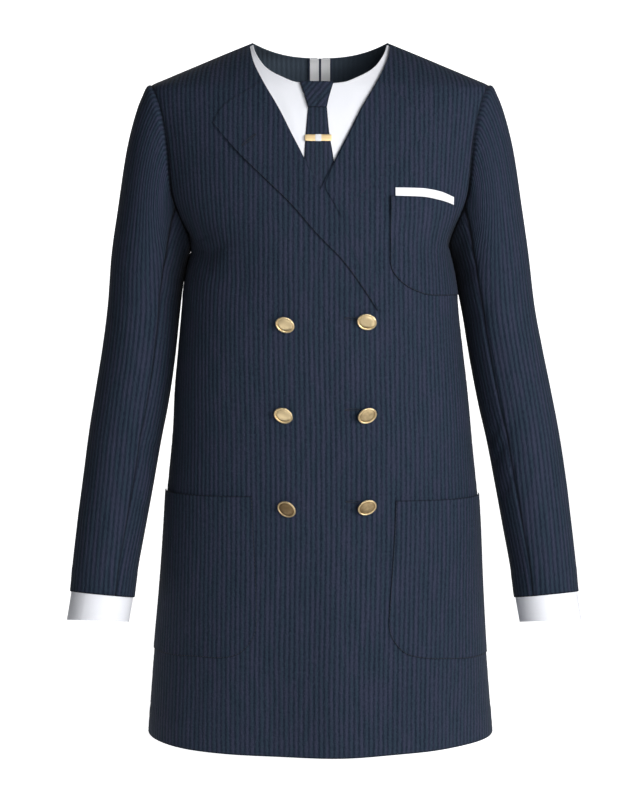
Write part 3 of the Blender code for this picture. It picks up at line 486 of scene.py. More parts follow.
@dataclass(frozen=True)
class SleeveForm:
    """A sleeve: tilted rings from the armhole to the cuff, joined by smooth curves."""

    body: GarmentForm
    # Outer edge x and z, inner edge x and z, middle y, half depth
    rings: Table = (
        (200.5, -50.5, 151.4, -240.0, 1.0, 48.0), (212.0, -75.5, 152.6, -245.0, 1.0, 51.5),
        (224.5, -122.0, 154.4, -252.5, 2.0, 55.0), (235.5, -190.0, 157.4, -266.0, 2.0, 57.0),
        (243.4, -243.0, 160.8, -284.0, 1.0, 57.0), (249.6, -302.0, 165.8, -316.0, 0.0, 55.5),
        (257.6, -352.0, 172.8, -366.0, -2.0, 54.0), (267.0, -402.0, 181.2, -415.0, -5.0, 52.5),
        (275.5, -450.0, 191.0, -461.0, -9.0, 50.0), (282.5, -500.0, 200.0, -510.0, -14.0, 47.5),
        (289.0, -550.0, 209.0, -559.0, -20.0, 45.0), (294.5, -600.0, 218.0, -608.0, -27.0, 42.5),
        (297.6, -635.5, 222.6, -643.0, -32.0, 41.0), (302.6, -668.5, 227.4, -671.5, -37.0, 40.0),
    )
    armhole_ellipse: tuple[float, ...] = (194.0, -47.0, 150.0, -236.0, 1.5, 45.5)
    armhole_kept: tuple[float, ...] = (0.8, 0.5, 0.2)
    splay: Table = ((-674, 5.0), (-500, 5.0), (-420, 4.0), (-330, 2.0), (-262, 0.0), (-40, 0.0))
    # How much higher the front of a ring lies than its middle: height, rise
    front_rise: Table = ((-674, 8.4), (-643, 7.6), (-608, 4.5), (-560, 1.5), (-500, 0.0))
    gap: float = 0.08

    def ring(self, row: Sequence[float], angle: Array, extra: float) -> Array:
        """One tilted ellipse. Angle 0 is the outer edge, 90 degrees the front, 180 the inner edge."""
        outer_x, outer_z, inner_x, inner_z, middle_y, half_depth = row
        cosine = np.cos(angle)
        lifted = read(self.front_rise, (outer_z + inner_z) / 2)
        x = (outer_x + inner_x) / 2 + (outer_x - inner_x) / 2 * cosine + extra
        z = (outer_z + inner_z) / 2 + (outer_z - inner_z) / 2 * cosine + lifted * np.sin(angle)
        return np.stack([x, middle_y - half_depth * np.sin(angle), z], -1)

    def start(self, angle: Array) -> tuple[Array, Array, Array]:
        """The armhole's points that a sleeve starts from, the way out of the panels and normals."""
        turn = np.mod(angle, 2 * math.pi)
        from_front = turn <= math.pi
        folded = np.where(from_front, turn, 2 * math.pi - turn)
        found = [np.empty((len(angle), 3)) for _ in range(3)]
        for side, chosen in ((Side.FRONT, from_front), (Side.BACK, ~from_front)):
            if chosen.any():
                for kept, part in zip(found, self.body.armhole_line(folded[chosen], side)):
                    kept[chosen] = part
        return found[0], found[1], found[2]

    def rows(self, angle: Array, arm: int) -> Array:
        """All rings as one array, armhole first, on the right-hand side."""
        point, away, normal = self.start(angle)
        valley = np.clip(-np.cos(angle), 0, 1)[:, None]
        made = [point + (away + normal * valley) * self.gap]
        own_shape = point - self.ring(self.armhole_ellipse, angle, 0.0)
        kept = np.zeros(len(self.rings))
        kept[: len(self.armhole_kept)] = self.armhole_kept
        for row, share in zip(self.rings, kept):
            extra = read(self.splay, (row[1] + row[3]) / 2) * arm
            made.append(self.ring(row, angle, float(extra)) + own_shape * share)
        return np.stack(made)

    def surface(self, angle: Array, share: Array, arm: int) -> tuple[Array, Array]:
        """Points and outward normals of the sleeve at a grid of angles and shares.

        Each column is the Catmull-Rom curve through the rings' points at its angle.

        Args:
            angle: Column angles in radians.
            share: Row places, where a whole number is a ring.
            arm: -1 for the left arm, 1 for the right.

        Returns:
            Points and normals, still on the right-hand side.
        """
        rings = self.rows(angle, arm)
        tangent = np.empty_like(rings)
        tangent[1:-1] = (rings[2:] - rings[:-2]) / 2
        tangent[0] = rings[1] - rings[0]
        tangent[-1] = rings[-1] - rings[-2]
        i = np.clip(np.floor(share).astype(int), 0, len(rings) - 2)
        t = (share - i)[:, None, None]
        rise = (1 - t) ** 2 * (1 + 2 * t) * rings[i] + t**2 * (3 - 2 * t) * rings[i + 1]
        points = rise + t * (1 - t) * ((1 - t) * tangent[i] - t * tangent[i + 1])
        normal = grid_normals(points)
        if share[0] == 0:
            like_panel = np.clip(1 + np.cos(angle), 0, 1)[:, None]
            normal[0] = unit(self.start(angle)[2] * like_panel + normal[0] * (1 - like_panel))
        return points, normal


class Nodes:
    """A material's node tree, with one way to add any node."""

    def __init__(self, material: bpy.types.Material) -> None:
        """Takes over the tree of a material."""
        self.tree = material.node_tree

    def add(
        self, kind: str, settings: Mapping | None = None, inputs: Mapping | None = None, output: int | str = 0
    ) -> "Socket":
        """Adds a node.

        Args:
            kind: The node's type.
            settings: Its properties.
            inputs: Values or sockets for its inputs, by name or number.
            output: Which output to return.

        Returns:
            That output, wrapped.
        """
        node = self.tree.nodes.new(kind)
        for name, value in (settings or {}).items():
            setattr(node, name, value)
        for name, value in (inputs or {}).items():
            self.feed(node.inputs[name], value)
        return Socket(self, node.outputs[output])

    def feed(self, target: bpy.types.NodeSocket, value: Value) -> None:
        """Links a wrapped socket to an input, or sets the input's own value."""
        if isinstance(value, Socket):
            self.tree.links.new(value.link, target)
        else:
            target.default_value = value

    def mix(self, share: Value, first: Value, second: Value) -> "Socket":
        """A colour between two, each a wrapped socket or red, green and blue."""
        first, second = (part if isinstance(part, Socket) else (*part, 1.0) for part in (first, second))
        settings = {"data_type": "RGBA", "clamp_factor": True}
        return self.add("ShaderNodeMix", settings, {0: share, 6: first, 7: second}, 2)

    def noise(self, vector: "Socket", scale: float, detail: float, roughness: float = 0.5) -> "Socket":
        """Noise values from 0 to 1 at a vector."""
        inputs = {"Vector": vector, "Scale": scale, "Detail": detail, "Roughness": roughness}
        return self.add("ShaderNodeTexNoise", None, inputs, "Fac")

    def ranged(self, value: "Socket", *ends: float) -> "Socket":
        """A value carried smoothly from low, high to low, high (0 and 1 if not given) and held there."""
        inputs = dict(zip(("Value", "From Min", "From Max", "To Min", "To Max"), (value, *ends)))
        return self.add("ShaderNodeMapRange", {"interpolation_type": "SMOOTHSTEP"}, inputs)

    def grain(
        self, vector: "Socket", across: float, down: float, detail: float, roughness: float = 0.5
    ) -> "Socket":
        """Noise on the cloth map, stretched by a factor each way."""
        factors = {0: vector, 1: (across, down, 0.0)}
        stretched = self.add("ShaderNodeVectorMath", {"operation": "MULTIPLY"}, factors, "Vector")
        return self.noise(stretched, 1.0, detail, roughness)

    def axes(self, vector: "Socket") -> tuple["Socket", "Socket"]:
        """A vector's first two coordinates."""
        split = self.tree.nodes.new("ShaderNodeSeparateXYZ")
        self.feed(split.inputs[0], vector)
        return Socket(self, split.outputs[0]), Socket(self, split.outputs[1])

    def cloth_map(self) -> tuple["Socket", "Socket", "Socket"]:
        """The cloth's own map in metres, as a vector and as its two coordinates."""
        vector = self.add("ShaderNodeUVMap", {"uv_map": "cloth"}, None, "UV")
        return vector, *self.axes(vector)

    def place(self) -> "Socket":
        """The object's own coordinates."""
        return self.add("ShaderNodeTexCoord", None, None, "Object")

    def tarnish_and_painted_shading(self) -> "Socket":
        """The piece's own attribute of tarnish and painted shading."""
        return self.add("ShaderNodeAttribute", {"attribute_name": "tarnish_and_painted_shading"}, None, "Fac")

    def drive(
        self,
        shader: bpy.types.ShaderNode,
        colour: Value,
        roughness: Value,
        height: "Socket",
        depth: float,
        share: float,
    ) -> None:
        """Feeds a shader's colour, roughness and a bump of a height, depth in metres and strength."""
        self.feed(shader.inputs["Base Color"], colour)
        self.feed(shader.inputs["Roughness"], roughness)
        inputs = {"Height": height, "Distance": depth, "Strength": share}
        self.feed(shader.inputs["Normal"], self.add("ShaderNodeBump", None, inputs))


def operator(kind: str, swapped: bool = False) -> Callable[["Socket", Value], "Socket"]:
    """A method that puts two values through a Math node, the other one first if swapped."""

    def method(this: "Socket", other: Value) -> "Socket":
        """The node's output."""
        return this.maths(kind, *((other, this) if swapped else (this, other)))

    return method


@dataclass(frozen=True)
class Socket:
    """A node's output with the operators that shader maths is written in."""

    nodes: Nodes
    link: bpy.types.NodeSocket

    def maths(self, operation: str, *values: Value) -> "Socket":
        """A Math node on these values."""
        return self.nodes.add("ShaderNodeMath", {"operation": operation}, dict(enumerate(values)))

    __add__ = operator("ADD")
    __radd__ = operator("ADD", swapped=True)
    __sub__ = operator("SUBTRACT")
    __rsub__ = operator("SUBTRACT", swapped=True)
    __mul__ = operator("MULTIPLY")
    __rmul__ = operator("MULTIPLY", swapped=True)

    def sine(self) -> "Socket":
        """The sine of this."""
        return self.maths("SINE", self)

    def size(self) -> "Socket":
        """This without its sign."""
        return self.maths("ABSOLUTE", self)


Colour = tuple[float, float, float]


@dataclass(frozen=True)
class Finish:
    """A named material. Kinds of finish add their own nodes in dress()."""

    name: str
    slot: str

    def made(self) -> bpy.types.Material:
        """The material, made on first use."""
        known = bpy.data.materials.get(self.name)
        if known:
            return known
        material = bpy.data.materials.new(self.name)
        material.use_nodes = True
        shader = material.node_tree.nodes["Principled BSDF"]
        nodes = Nodes(material)
        self.dress(nodes, shader)
        return material

    def dress(self, nodes: Nodes, shader: bpy.types.ShaderNode) -> None:
        """Sets the shader's sockets."""
        raise NotImplementedError


@dataclass(frozen=True)
class Seersucker(Finish):
    """Navy seersucker: flat dark stripes between lighter puckered ones."""

    dark: Colour = (0.0066, 0.0115, 0.0232)
    light: Colour = (0.0240, 0.0395, 0.0615)
    other_light: Colour = (0.0300, 0.0355, 0.0645)
    # Colours of painted shade and painted light, which the piece's attribute mixes into the stripes
    painted_shade_colour: Colour = (0.001, 0.0015, 0.003)
    painted_light_colour: Colour = (0.050, 0.068, 0.092)
    pitch: float = 0.0057
    pucker: float = 0.00055
    wander: float = 0.0022
    raggedness: float = 4.2

    def dress(self, nodes: Nodes, shader: bpy.types.ShaderNode) -> None:
        """Stripes from a sine of the first cloth coordinate, broken and puckered by noise."""
        vector, across, _ = nodes.cloth_map()
        # The piece's painted shade, above nought, and painted light, below nought
        seam = nodes.tarnish_and_painted_shading()
        wander = nodes.grain(vector, 45.0, 14.0, 2.0) - 0.5
        wave = ((across + wander * self.wander) * (2 * math.pi / self.pitch)).sine()
        broken = nodes.grain(vector, 700.0, 200.0, 2.0, 0.65) - 0.5
        stripe = nodes.ranged(wave + broken * self.raggedness, -1.3, 0.9)
        tone = nodes.grain(vector, 175.0, 22.0, 1.0)
        crinkle = nodes.grain(vector, 240.0, 290.0, 3.0, 0.65)
        weave = nodes.grain(vector, 1500.0, 900.0, 2.0)
        cloudy = nodes.grain(vector, 9.0, 6.0, 3.0)
        speck = nodes.grain(vector, 620.0, 430.0, 2.0, 0.7)
        lit = stripe * (0.34 + crinkle * 0.5) + (tone - 0.5) * 0.55 + (weave - 0.5) * 0.4 + 0.1
        lit = lit + (cloudy - 0.5) * 0.2 + (speck - 0.5) * 0.9
        hue = nodes.mix(nodes.ranged(tone, 0.4, 0.6), self.light, self.other_light)
        colour = nodes.mix(lit, self.dark, hue)
        # Painted light on the back neck's inside, then painted shade in seams, along edges and under the arms
        colour = nodes.mix(seam * -1.0, colour, self.painted_light_colour)
        colour = nodes.mix(seam, colour, self.painted_shade_colour)
        height = stripe * (crinkle - 0.25) * 1.1 + wave * 0.2 + crinkle * 0.6 + weave * 0.12
        nodes.drive(shader, colour, 0.80 + crinkle * 0.16, height, self.pucker, 0.9)
        shader.inputs["Specular IOR Level"].default_value = 0.12
        shader.inputs["Sheen Weight"].default_value = 0.02
        shader.inputs["Sheen Roughness"].default_value = 0.5


@dataclass(frozen=True)
class Shirting(Finish):
    """Smooth white shirting with a fine plain weave."""

    white: Colour = (0.80, 0.81, 0.86)
    threads: float = 2600.0

    def dress(self, nodes: Nodes, shader: bpy.types.ShaderNode) -> None:
        """A plain weave from two sines of the cloth's coordinates, with faint clouds in the white."""
        vector, across, down = nodes.cloth_map()
        weave = (across * (self.threads * math.pi)).sine() * (down * (self.threads * math.pi)).sine()
        cloudy = nodes.grain(vector, 35.0, 25.0, 2.0)
        slub = nodes.grain(vector, 900.0, 60.0, 2.0)
        shade = nodes.mix((cloudy - 0.3) * 0.5 + slub * 0.15, self.white, (0.80, 0.81, 0.84))
        nodes.drive(shader, shade, 0.70 + slub * 0.15, weave * 0.4 + slub, 0.00008, 0.6)
        shader.inputs["Specular IOR Level"].default_value = 0.3


@dataclass(frozen=True)
class WovenTape(Finish):
    """A white grosgrain tape with a navy centre line and fine navy edges."""

    half: float = 0.014
    rib_pitch: float = 0.0009

    def dress(self, nodes: Nodes, shader: bpy.types.ShaderNode) -> None:
        """Bands by distance from the middle, and crosswise ribs from a sine along the tape."""
        vector, across, down = nodes.cloth_map()
        away = across.size() * (1.0 / self.half)
        centre = 1.0 - nodes.ranged(away, 0.085, 0.105)
        rim = nodes.ranged(away, 0.84, 0.87)
        rib = (down * (2 * math.pi / self.rib_pitch)).sine()
        fuzz = nodes.grain(vector, 2000.0, 700.0, 2.0)
        white = nodes.mix(fuzz * 0.4, (0.94, 0.945, 0.96), (0.86, 0.865, 0.88))
        colour = nodes.mix(centre + rim, white, (0.016, 0.024, 0.055))
        nodes.drive(shader, colour, 0.55 + fuzz * 0.25, rib + fuzz * 0.5, 0.00012, 0.7)


@dataclass(frozen=True)
class Speckled(Finish):
    """One colour with faint specks of another shade of it: sewing thread, or enamel with a coat."""

    colour: Colour
    shade: float = 1.7
    scale: float = 1400.0
    rough: tuple[float, float] = (0.55, 0.3)
    skin: tuple[float, float] = (0.0001, 0.5)
    coat: float = 0.0

    def dress(self, nodes: Nodes, shader: bpy.types.ShaderNode) -> None:
        """Shade, roughness and a bump of one noise on the object's coordinates."""
        speck = nodes.noise(nodes.place(), self.scale, 2.0)
        colour = nodes.mix(speck, self.colour, tuple(self.shade * part for part in self.colour))
        nodes.drive(shader, colour, self.rough[0] + speck * self.rough[1], speck, *self.skin)
        shader.inputs["Coat Weight"].default_value = self.coat


@dataclass(frozen=True)
class ZipCloth(Finish):
    """The zip's close woven navy tape."""

    band_width: float = 0.003
    twill_pitch: float = 0.0011

    def dress(self, nodes: Nodes, shader: bpy.types.ShaderNode) -> None:
        """A herringbone: a sine of both coordinates that changes direction from band to band."""
        vector, across, down = nodes.cloth_map()
        band = (across * (math.pi / self.band_width)).sine()
        way = nodes.ranged(band, -0.1, 0.1, -1.0, 1.0)
        twill = ((across * way + down) * (2 * math.pi / self.twill_pitch)).sine()
        fuzz = nodes.grain(vector, 1500.0, 1500.0, 2.0)
        colour = nodes.mix(fuzz, (0.012, 0.017, 0.032), (0.026, 0.034, 0.055))
        nodes.drive(shader, colour, 0.65 + fuzz * 0.2, twill + fuzz, 0.0001, 0.7)


@dataclass(frozen=True)
class Gilt(Finish):
    """Gilt brass, polished where it stands proud, tarnished in its hollows and darkened by painted shade
    where the attribute asks.
    """

    bright: Colour = (1.0, 0.79, 0.46)
    tarnish_and_painted_shade: Colour = (0.24, 0.16, 0.08)
    polish: float = 0.27

    def dress(self, nodes: Nodes, shader: bpy.types.ShaderNode) -> None:
        """Colour and roughness by the piece's own attribute of tarnish and painted shading, and fine handling
        marks.
        """
        tarnish_and_painted_shading = nodes.tarnish_and_painted_shading()
        place = nodes.place()
        marks = nodes.noise(place, 900.0, 4.0, 0.65)
        tarnish = nodes.noise(place, 160.0, 2.0)
        tarnished_and_shaded = nodes.ranged(tarnish_and_painted_shading + (tarnish - 0.5) * 0.5, 0.15, 0.95)
        colour = nodes.mix(tarnished_and_shaded, self.bright, self.tarnish_and_painted_shade)
        nodes.drive(shader, colour, self.polish + marks * 0.14 + tarnished_and_shaded * 0.22, marks, 0.00005, 0.5)
        shader.inputs["Metallic"].default_value = 1.0


SUITING = Seersucker("suiting_seersucker", "seersucker")
TIE_CLOTH = Seersucker("tie_seersucker", "tie_cloth", dark=(0.0100, 0.0150, 0.0270), pitch=0.0050)
SHIRT = Shirting("white_shirting", "shirting")
NECK_TAPE = WovenTape("white_woven_tape", "woven_tape")
NAVY_THREAD = Speckled("navy_thread", "seersucker", (0.0035, 0.0050, 0.0095))
ZIP_TAPE = ZipCloth("zip_cloth_navy", "zip_cloth")
GILT = Gilt("gilt_brass", "gilt")
SATIN_GILT = Gilt("gilt_brass_satin", "gilt", polish=0.55)
ENAMEL_LOOK = (0.82, 260.0, (0.16, 0.1), (0.00006, 0.4), 0.4)
PALE_ENAMEL = Speckled("pale_enamel", "gilt", (0.80, 0.81, 0.83), *ENAMEL_LOOK)
NAVY_ENAMEL = Speckled("navy_enamelled_metal", "zip_metal", (0.020, 0.028, 0.055), *ENAMEL_LOOK)


@dataclass
class Surface:
    """A mesh made from whole arrays, with an optional cloth map and an attribute of tarnish and painted
    shading.
    """

    name: str
    points: Array
    faces: Array
    finish: Finish
    uv: Array | None = None
    tarnish_and_painted_shading: Array | None = None
    sharp_angle: float = 50.0

    def build(self) -> bpy.types.Object:
        """Makes the mesh object in metres at the origin."""
        mesh = bpy.data.meshes.new(self.name)
        count = len(self.faces)
        corners = self.faces.shape[1]
        mesh.vertices.add(len(self.points))
        mesh.vertices.foreach_set("co", (self.points * METRES).astype(np.float32).ravel())
        mesh.loops.add(count * corners)
        mesh.loops.foreach_set("vertex_index", self.faces.astype(np.int32).ravel())
        mesh.polygons.add(count)
        mesh.polygons.foreach_set("loop_start", np.arange(0, count * corners, corners, dtype=np.int32))
        mesh.update(calc_edges=True)
        if self.uv is not None:
            layer = mesh.uv_layers.new(name="cloth")
            layer.data.foreach_set("uv", (self.uv[self.faces.ravel()] * METRES).astype(np.float32).ravel())
        if self.tarnish_and_painted_shading is not None:
            kept = mesh.attributes.new("tarnish_and_painted_shading", "FLOAT", "POINT")
            kept.data.foreach_set("value", self.tarnish_and_painted_shading.astype(np.float32))
        mesh.validate(clean_customdata=False)
        mesh.shade_smooth()
        mesh.set_sharp_from_angle(angle=math.radians(self.sharp_angle))
        mesh.materials.append(self.finish.made())
        return link(self.name, mesh)


def link(name: str, data: bpy.types.ID) -> bpy.types.Object:
    """An object for some data, in the scene."""
    obj = bpy.data.objects.new(name, data)
    bpy.context.collection.objects.link(obj)
    return obj


def settle(obj: bpy.types.Object, nodes: Sequence[str] = ()) -> None:
    """Puts a piece on the garment, in the place of its solids."""
    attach(obj, GARMENT)
    if nodes:
        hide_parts(*nodes)
    LOG.info("%s: %d faces", obj.name, len(obj.data.polygons))


def grid_faces(rows: int, columns: int, closed: bool = False) -> Array:
    """Quads of a grid of points stored row by row. A closed grid joins its last column to its first."""
    last = columns if closed else columns - 1
    r, c = np.meshgrid(np.arange(rows - 1), np.arange(last), indexing="ij")
    n = (c + 1) % columns
    here = r * columns
    below = here + columns
    return np.stack([here + c, here + n, below + n, below + c], -1).reshape(-1, 4)


def cap(ring: Array) -> Array:
    """Quads that close an even ring of points, each joining two points to the two opposite."""
    near = np.arange(len(ring) // 2 - 1)
    return np.stack([ring[near], ring[near + 1], ring[-2 - near], ring[-1 - near]], -1)


def tube_faces(rows: int, columns: int) -> Array:
    """Quads of a closed grid with both of its ends capped."""
    first = cap(np.arange(columns))
    last = cap(np.arange(columns) + (rows - 1) * columns)
    return np.concatenate([grid_faces(rows, columns, True), first[:, ::-1], last])


@dataclass
class Cloth:
    """A cloth shell: an outer and an inner grid joined round their edge, with a cloth map.

    A painted shade darkens the cloth where it is above nought, standing in for the shadow in a seam, and
    painted light lightens it below nought.
    """

    name: str
    outer: Array
    inner: Array
    uv: Array
    finish: Finish
    closed: bool = False
    shade: Array | None = None
    inner_shade: Array | None = None

    def build(self, nodes: Sequence[str], held: str, rests_on: Sequence[str] = ()) -> None:
        """Args:
            nodes: The solids that it stands for.
            held: How the cloth is held; not used.
            rests_on: What it lies on or hangs from; not used.
        """
        rows, columns = self.outer.shape[:2]
        count = rows * columns
        skin = grid_faces(rows, columns, self.closed)
        lining = skin[:, ::-1] + count
        top, left = np.arange(columns), np.arange(rows) * columns
        rims = [self.rim(top)[:, ::-1], self.rim(top + count - columns)]
        if not self.closed:
            rims += [self.rim(left), self.rim(left + columns - 1)[:, ::-1]]
        faces = np.concatenate([skin, lining, *rims])
        if self.turned_in():
            faces = faces[:, ::-1]
        points = np.concatenate([self.outer.reshape(-1, 3), self.inner.reshape(-1, 3)])
        uv = np.concatenate([self.uv.reshape(-1, 2)] * 2)
        bare = np.zeros((rows, columns))
        shades = [bare if part is None else part + bare for part in (self.shade, self.inner_shade)]
        tarnish_and_painted_shading = np.concatenate([part.ravel() for part in shades])
        obj = Surface(self.name, points, faces, self.finish, uv, tarnish_and_painted_shading).build()
        settle(obj, nodes)

    def rim(self, line: Array) -> Array:
        """Quads between a line of the outer grid and the same line of the inner one."""
        count = self.outer.shape[0] * self.outer.shape[1]
        following = np.roll(line, -1) if self.closed else line[1:]
        start = line if self.closed else line[:-1]
        return np.stack([start, start + count, following + count, following], -1)

    def turned_in(self) -> bool:
        """Whether the grid's own direction points from the outer to the inner grid."""
        normal = np.cross(np.gradient(self.outer, axis=1), np.gradient(self.outer, axis=0))
        return float((normal * (self.outer - self.inner)).sum()) < 0

    def cut(self) -> tuple[float, float, float]:
        """Flat width, length and area in metres of what shows, all round on a tube.

        Width and length are those of the smallest box, over turns of 5 degrees, round the cloth map.
        """
        middle = (self.outer + self.inner) / 2
        if self.closed:
            middle = np.concatenate([middle, middle[:, :1]], axis=1)
        first = middle[1:, 1:] - middle[:-1, :-1]
        second = middle[1:, :-1] - middle[:-1, 1:]
        area = 0.5 * np.linalg.norm(np.cross(first, second), axis=-1).sum() * METRES**2
        turn = np.radians(np.arange(0.0, 90.0, 5.0))[:, None, None]
        u = self.uv[..., 0] * np.cos(turn) + self.uv[..., 1] * np.sin(turn)
        v = self.uv[..., 1] * np.cos(turn) - self.uv[..., 0] * np.sin(turn)
        widths = np.ptp(u, axis=(1, 2)) * METRES
        lengths = np.ptp(v, axis=(1, 2)) * METRES
        least = int(np.argmin(widths * lengths))
        across, down = float(widths[least]), float(lengths[least])
        if self.closed:
            across = float(run_lengths(middle, 1)[:, -1].max()) * METRES
        return across, down, float(min(area, across * down))


def rounded(distance: Array, reach: float = 0.9) -> Array:
    """How full a wall is near a free edge: the quarter circle sqrt(1 - (1 - d)^2) up to the reach."""
    near = np.clip(distance / reach, 0, 1)
    return 0.25 + 0.75 * np.sqrt(np.clip(1 - (1 - near) ** 2, 0, 1))


@dataclass
class BodyPanels:
    """The front and the two halves of the back, with seams, hem, darts and creases."""

    form: GarmentForm
    thickness: float = 1.2
    cell: float = 3.6
    hem_depth: float = 32.0
    # Where a change in height starts, and over what length: the flatter side seam near the shoulder,
    # the painted shade under the arm from below and from above, and the painted light on the back neck's
    # inside
    shoulder_from: tuple[float, float] = (-120.0, 50.0)
    shoulder_flat: float = 0.75
    under_from: tuple[float, float] = (-430.0, 130.0)
    under_to: tuple[float, float] = (-185.0, -40.0)
    under_dark: float = 0.85
    under_reach: float = 17.0
    neck_from: tuple[float, float] = (-130.0, 40.0)
    neck_light: float = 0.95
    side_seam: Seam = Seam(1.1, 2.6, 0.35)
    shoulder_seam: Seam = Seam(0.3, 2.0, 0.2)
    back_seam: Seam = Seam(0.9, 2.2, 0.3, 6.0, 3.0)
    neck_edge: Table = (
        (81.6, 0.0), (76.5, -20.0), (66.0, -42.0), (45.0, -78.0), (33.5, -101.0), (22.0, -123.0),
        (0.0, -167.0),
    )
    front_neck_u: float = 6 / 16
    back_neck_u: float = 5 / 12
    # Creases in arc from the middle and height
    front_creases: Table = (
        (-196, -214, -116, -252, 6.5, -1.7, 0.1, 0.7, 5.0),
        (-194, -234, -100, -286, 8.5, -1.5, 0.1, 0.7, -6.0),
        (-190, -250, -132, -330, 9.0, 1.2, 0.15, 0.7, 6.0),
        (196, -228, 128, -262, 8.0, -1.3, 0.1, 0.7, -4.0),
        (192, -252, 140, -342, 10.0, 1.1, 0.15, 0.7, -7.0),
        (-170, -226, -113, -211, 1.7, -0.9, 0.1, 0.35, 1.5, 0.15),
        (128, -296, 90, -508, 2.6, -0.55, 0.2, 0.2, 2.0, 0.4),
        (-126, -300, -88, -505, 2.6, -0.5, 0.2, 0.2, -2.0, 0.4),
        (16, -560, 13, -806, 12.0, 1.1, 0.5, 0.1, 2.0), (-4, -480, -12, -742, 7.0, -0.7, 0.4, 0.4, 3.0),
        (34, -600, 40, -806, 10.0, -0.9, 0.5, 0.1, -3.0), (-60, -690, -52, -808, 9.0, -0.9, 0.5, 0.1, 2.0),
        (-150, -712, -146, -808, 11.0, -1.0, 0.4, 0.1, 2.0),
        (92, -716, 96, -808, 12.0, 1.0, 0.4, 0.1, -3.0), (164, -720, 170, -808, 9.0, -1.0, 0.4, 0.1, 2.0),
        (-120, -96, -72, -176, 14.0, -0.8, 0.4, 0.6, -5.0), (128, -92, 76, -150, 14.0, -0.7, 0.4, 0.6, 5.0),
        (-62, -330, -58, -402, 9.0, 0.6, 0.4, 0.5, 2.0), (6, -330, 4, -470, 11.0, -0.7, 0.5, 0.5, -2.0),
        (78, -352, 84, -452, 9.0, 0.6, 0.4, 0.5, 2.0),
    )
    back_creases: Table = (
        (-192, -232, -88, -298, 8.0, -1.6, 0.1, 0.7, 6.0), (190, -240, 96, -312, 9.0, -1.5, 0.1, 0.7, -6.0),
        (-186, -262, -120, -352, 10.0, 1.2, 0.15, 0.7, 7.0),
        (184, -266, 118, -372, 11.0, 1.1, 0.15, 0.7, -8.0),
        (-150, -110, -92, -196, 13.0, -1.2, 0.3, 0.6, 5.0),
        (152, -104, 88, -206, 14.0, -1.1, 0.3, 0.6, -6.0), (-30, -330, -58, -404, 9.0, -0.9, 0.4, 0.6, 4.0),
        (26, -342, 62, -420, 9.0, -0.9, 0.4, 0.6, -4.0), (-70, -560, -78, -806, 13.0, -1.2, 0.5, 0.1, 3.0),
        (-128, -610, -138, -806, 12.0, 1.2, 0.5, 0.1, -3.0),
        (58, -580, 64, -806, 12.0, -1.2, 0.5, 0.1, -3.0), (126, -640, 140, -806, 12.0, 1.1, 0.5, 0.1, 3.0),
        (12, -640, 16, -806, 8.0, 0.8, 0.5, 0.1, 1.0), (-14, -600, -20, -806, 9.0, 0.8, 0.5, 0.1, -1.0),
    )
    foot_reach: float = 7.0

    def columns(self, neck_u: float, half_arc: float = 245.0) -> Array:
        """Column places from 0 to 1 with the neck corner among them, finer near the corner and edge."""
        inner = steps(half_arc * neck_u, self.cell, (0.01, 0.02)) * neck_u
        outer = neck_u + steps(half_arc * (1 - neck_u), self.cell) * (1 - neck_u)
        return np.concatenate([inner, outer[1:]])

    def height(self, z: Array, side: Side, arc: Array, up: Array, to_edge: Array) -> Array:
        """How far the cloth stands out of the form: creases, sewn-in edges, hem and puckers.

        Args:
            z: Height of each point.
            side: Front or back.
            arc: Length round the ring from the middle.
            up: Length up the cloth from the hem.
            to_edge: Distance from the side seam or armhole.

        Returns:
            The height in millimetres.
        """
        creases = self.front_creases if side is Side.FRONT else self.back_creases
        sunk = 1 - self.shoulder_flat * fade(z, *self.shoulder_from)
        made = relief(creases, arc, z) + sunk * self.side_seam.height(to_edge)
        made = made + ripple(to_edge, up, 9.0, 11.0, 0.22, 0.4 + side.value)
        hem = fade(up, self.hem_depth + 2.0, -4.0)
        made = made + 0.35 * hem + ripple(up - self.hem_depth, arc, 5.0, 6.5, 0.16, 1.1)
        made = made + 0.5 * np.sin(arc / 31.0 + 0.8 * np.sin(arc / 47.0)) * np.exp(-up / 60.0)
        if side is Side.FRONT:
            for _, x, foot_z, *_ in Buttons.places:
                made = made - 0.5 * bell(np.hypot(arc - x * 1.01, z - foot_z), self.foot_reach)
        return made

    def panel(self, name: str, side: Side, u: Array, neck_u: float, neck_line: Table) -> None:
        """One panel's shell.

        Args:
            name: The solid that it stands for.
            side: Front or back.
            u: Column places.
            neck_u: The column where the neck edge meets the shoulder.
            neck_line: The neck edge.
        """
        form = self.form
        low = steps(form.underarm_z - form.hem_z, self.cell)
        turn = np.linspace(0, math.pi, 73)
        high = (1 - np.cos(turn)) / 2
        grid = form.panel(u, neck_u, neck_line, side, low, high[1:])
        if side is Side.BACK:
            which = 1 if u.max() > 0 else -1
            middle = form.q_at(form.ring(grid[..., 1])[4] + form.half_seam_gap, grid[..., 1])
            grid[..., 0] = which * np.maximum(np.abs(grid[..., 0]), middle)
        q, z = grid[..., 0], grid[..., 1]
        bare = form.place(q, z, side)
        arc = form.arc(q, z, side)
        up = run_lengths(bare, 0)
        to_left = run_lengths(bare, 1)
        to_right = to_left[:, -1:] - to_left
        to_top = up[-1:] - up
        if side is Side.FRONT:
            to_edge = np.minimum(to_left, to_right)
        else:
            to_edge, to_middle = (to_left, to_right) if u.max() <= 0 else (to_right, to_left)
        free = np.where(np.abs(u)[None] < neck_u, to_top, FAR)
        out = self.height(z, side, arc, up, to_edge)
        seam_top = np.where(np.abs(u)[None] >= neck_u, to_top, FAR)
        out = out + self.shoulder_seam.height(seam_top)
        if side is Side.BACK:
            out = out + self.back_seam.height(to_middle) + ripple(to_middle, up, 8.0, 9.0, 0.2, 2.0)
        half = self.thickness / 2
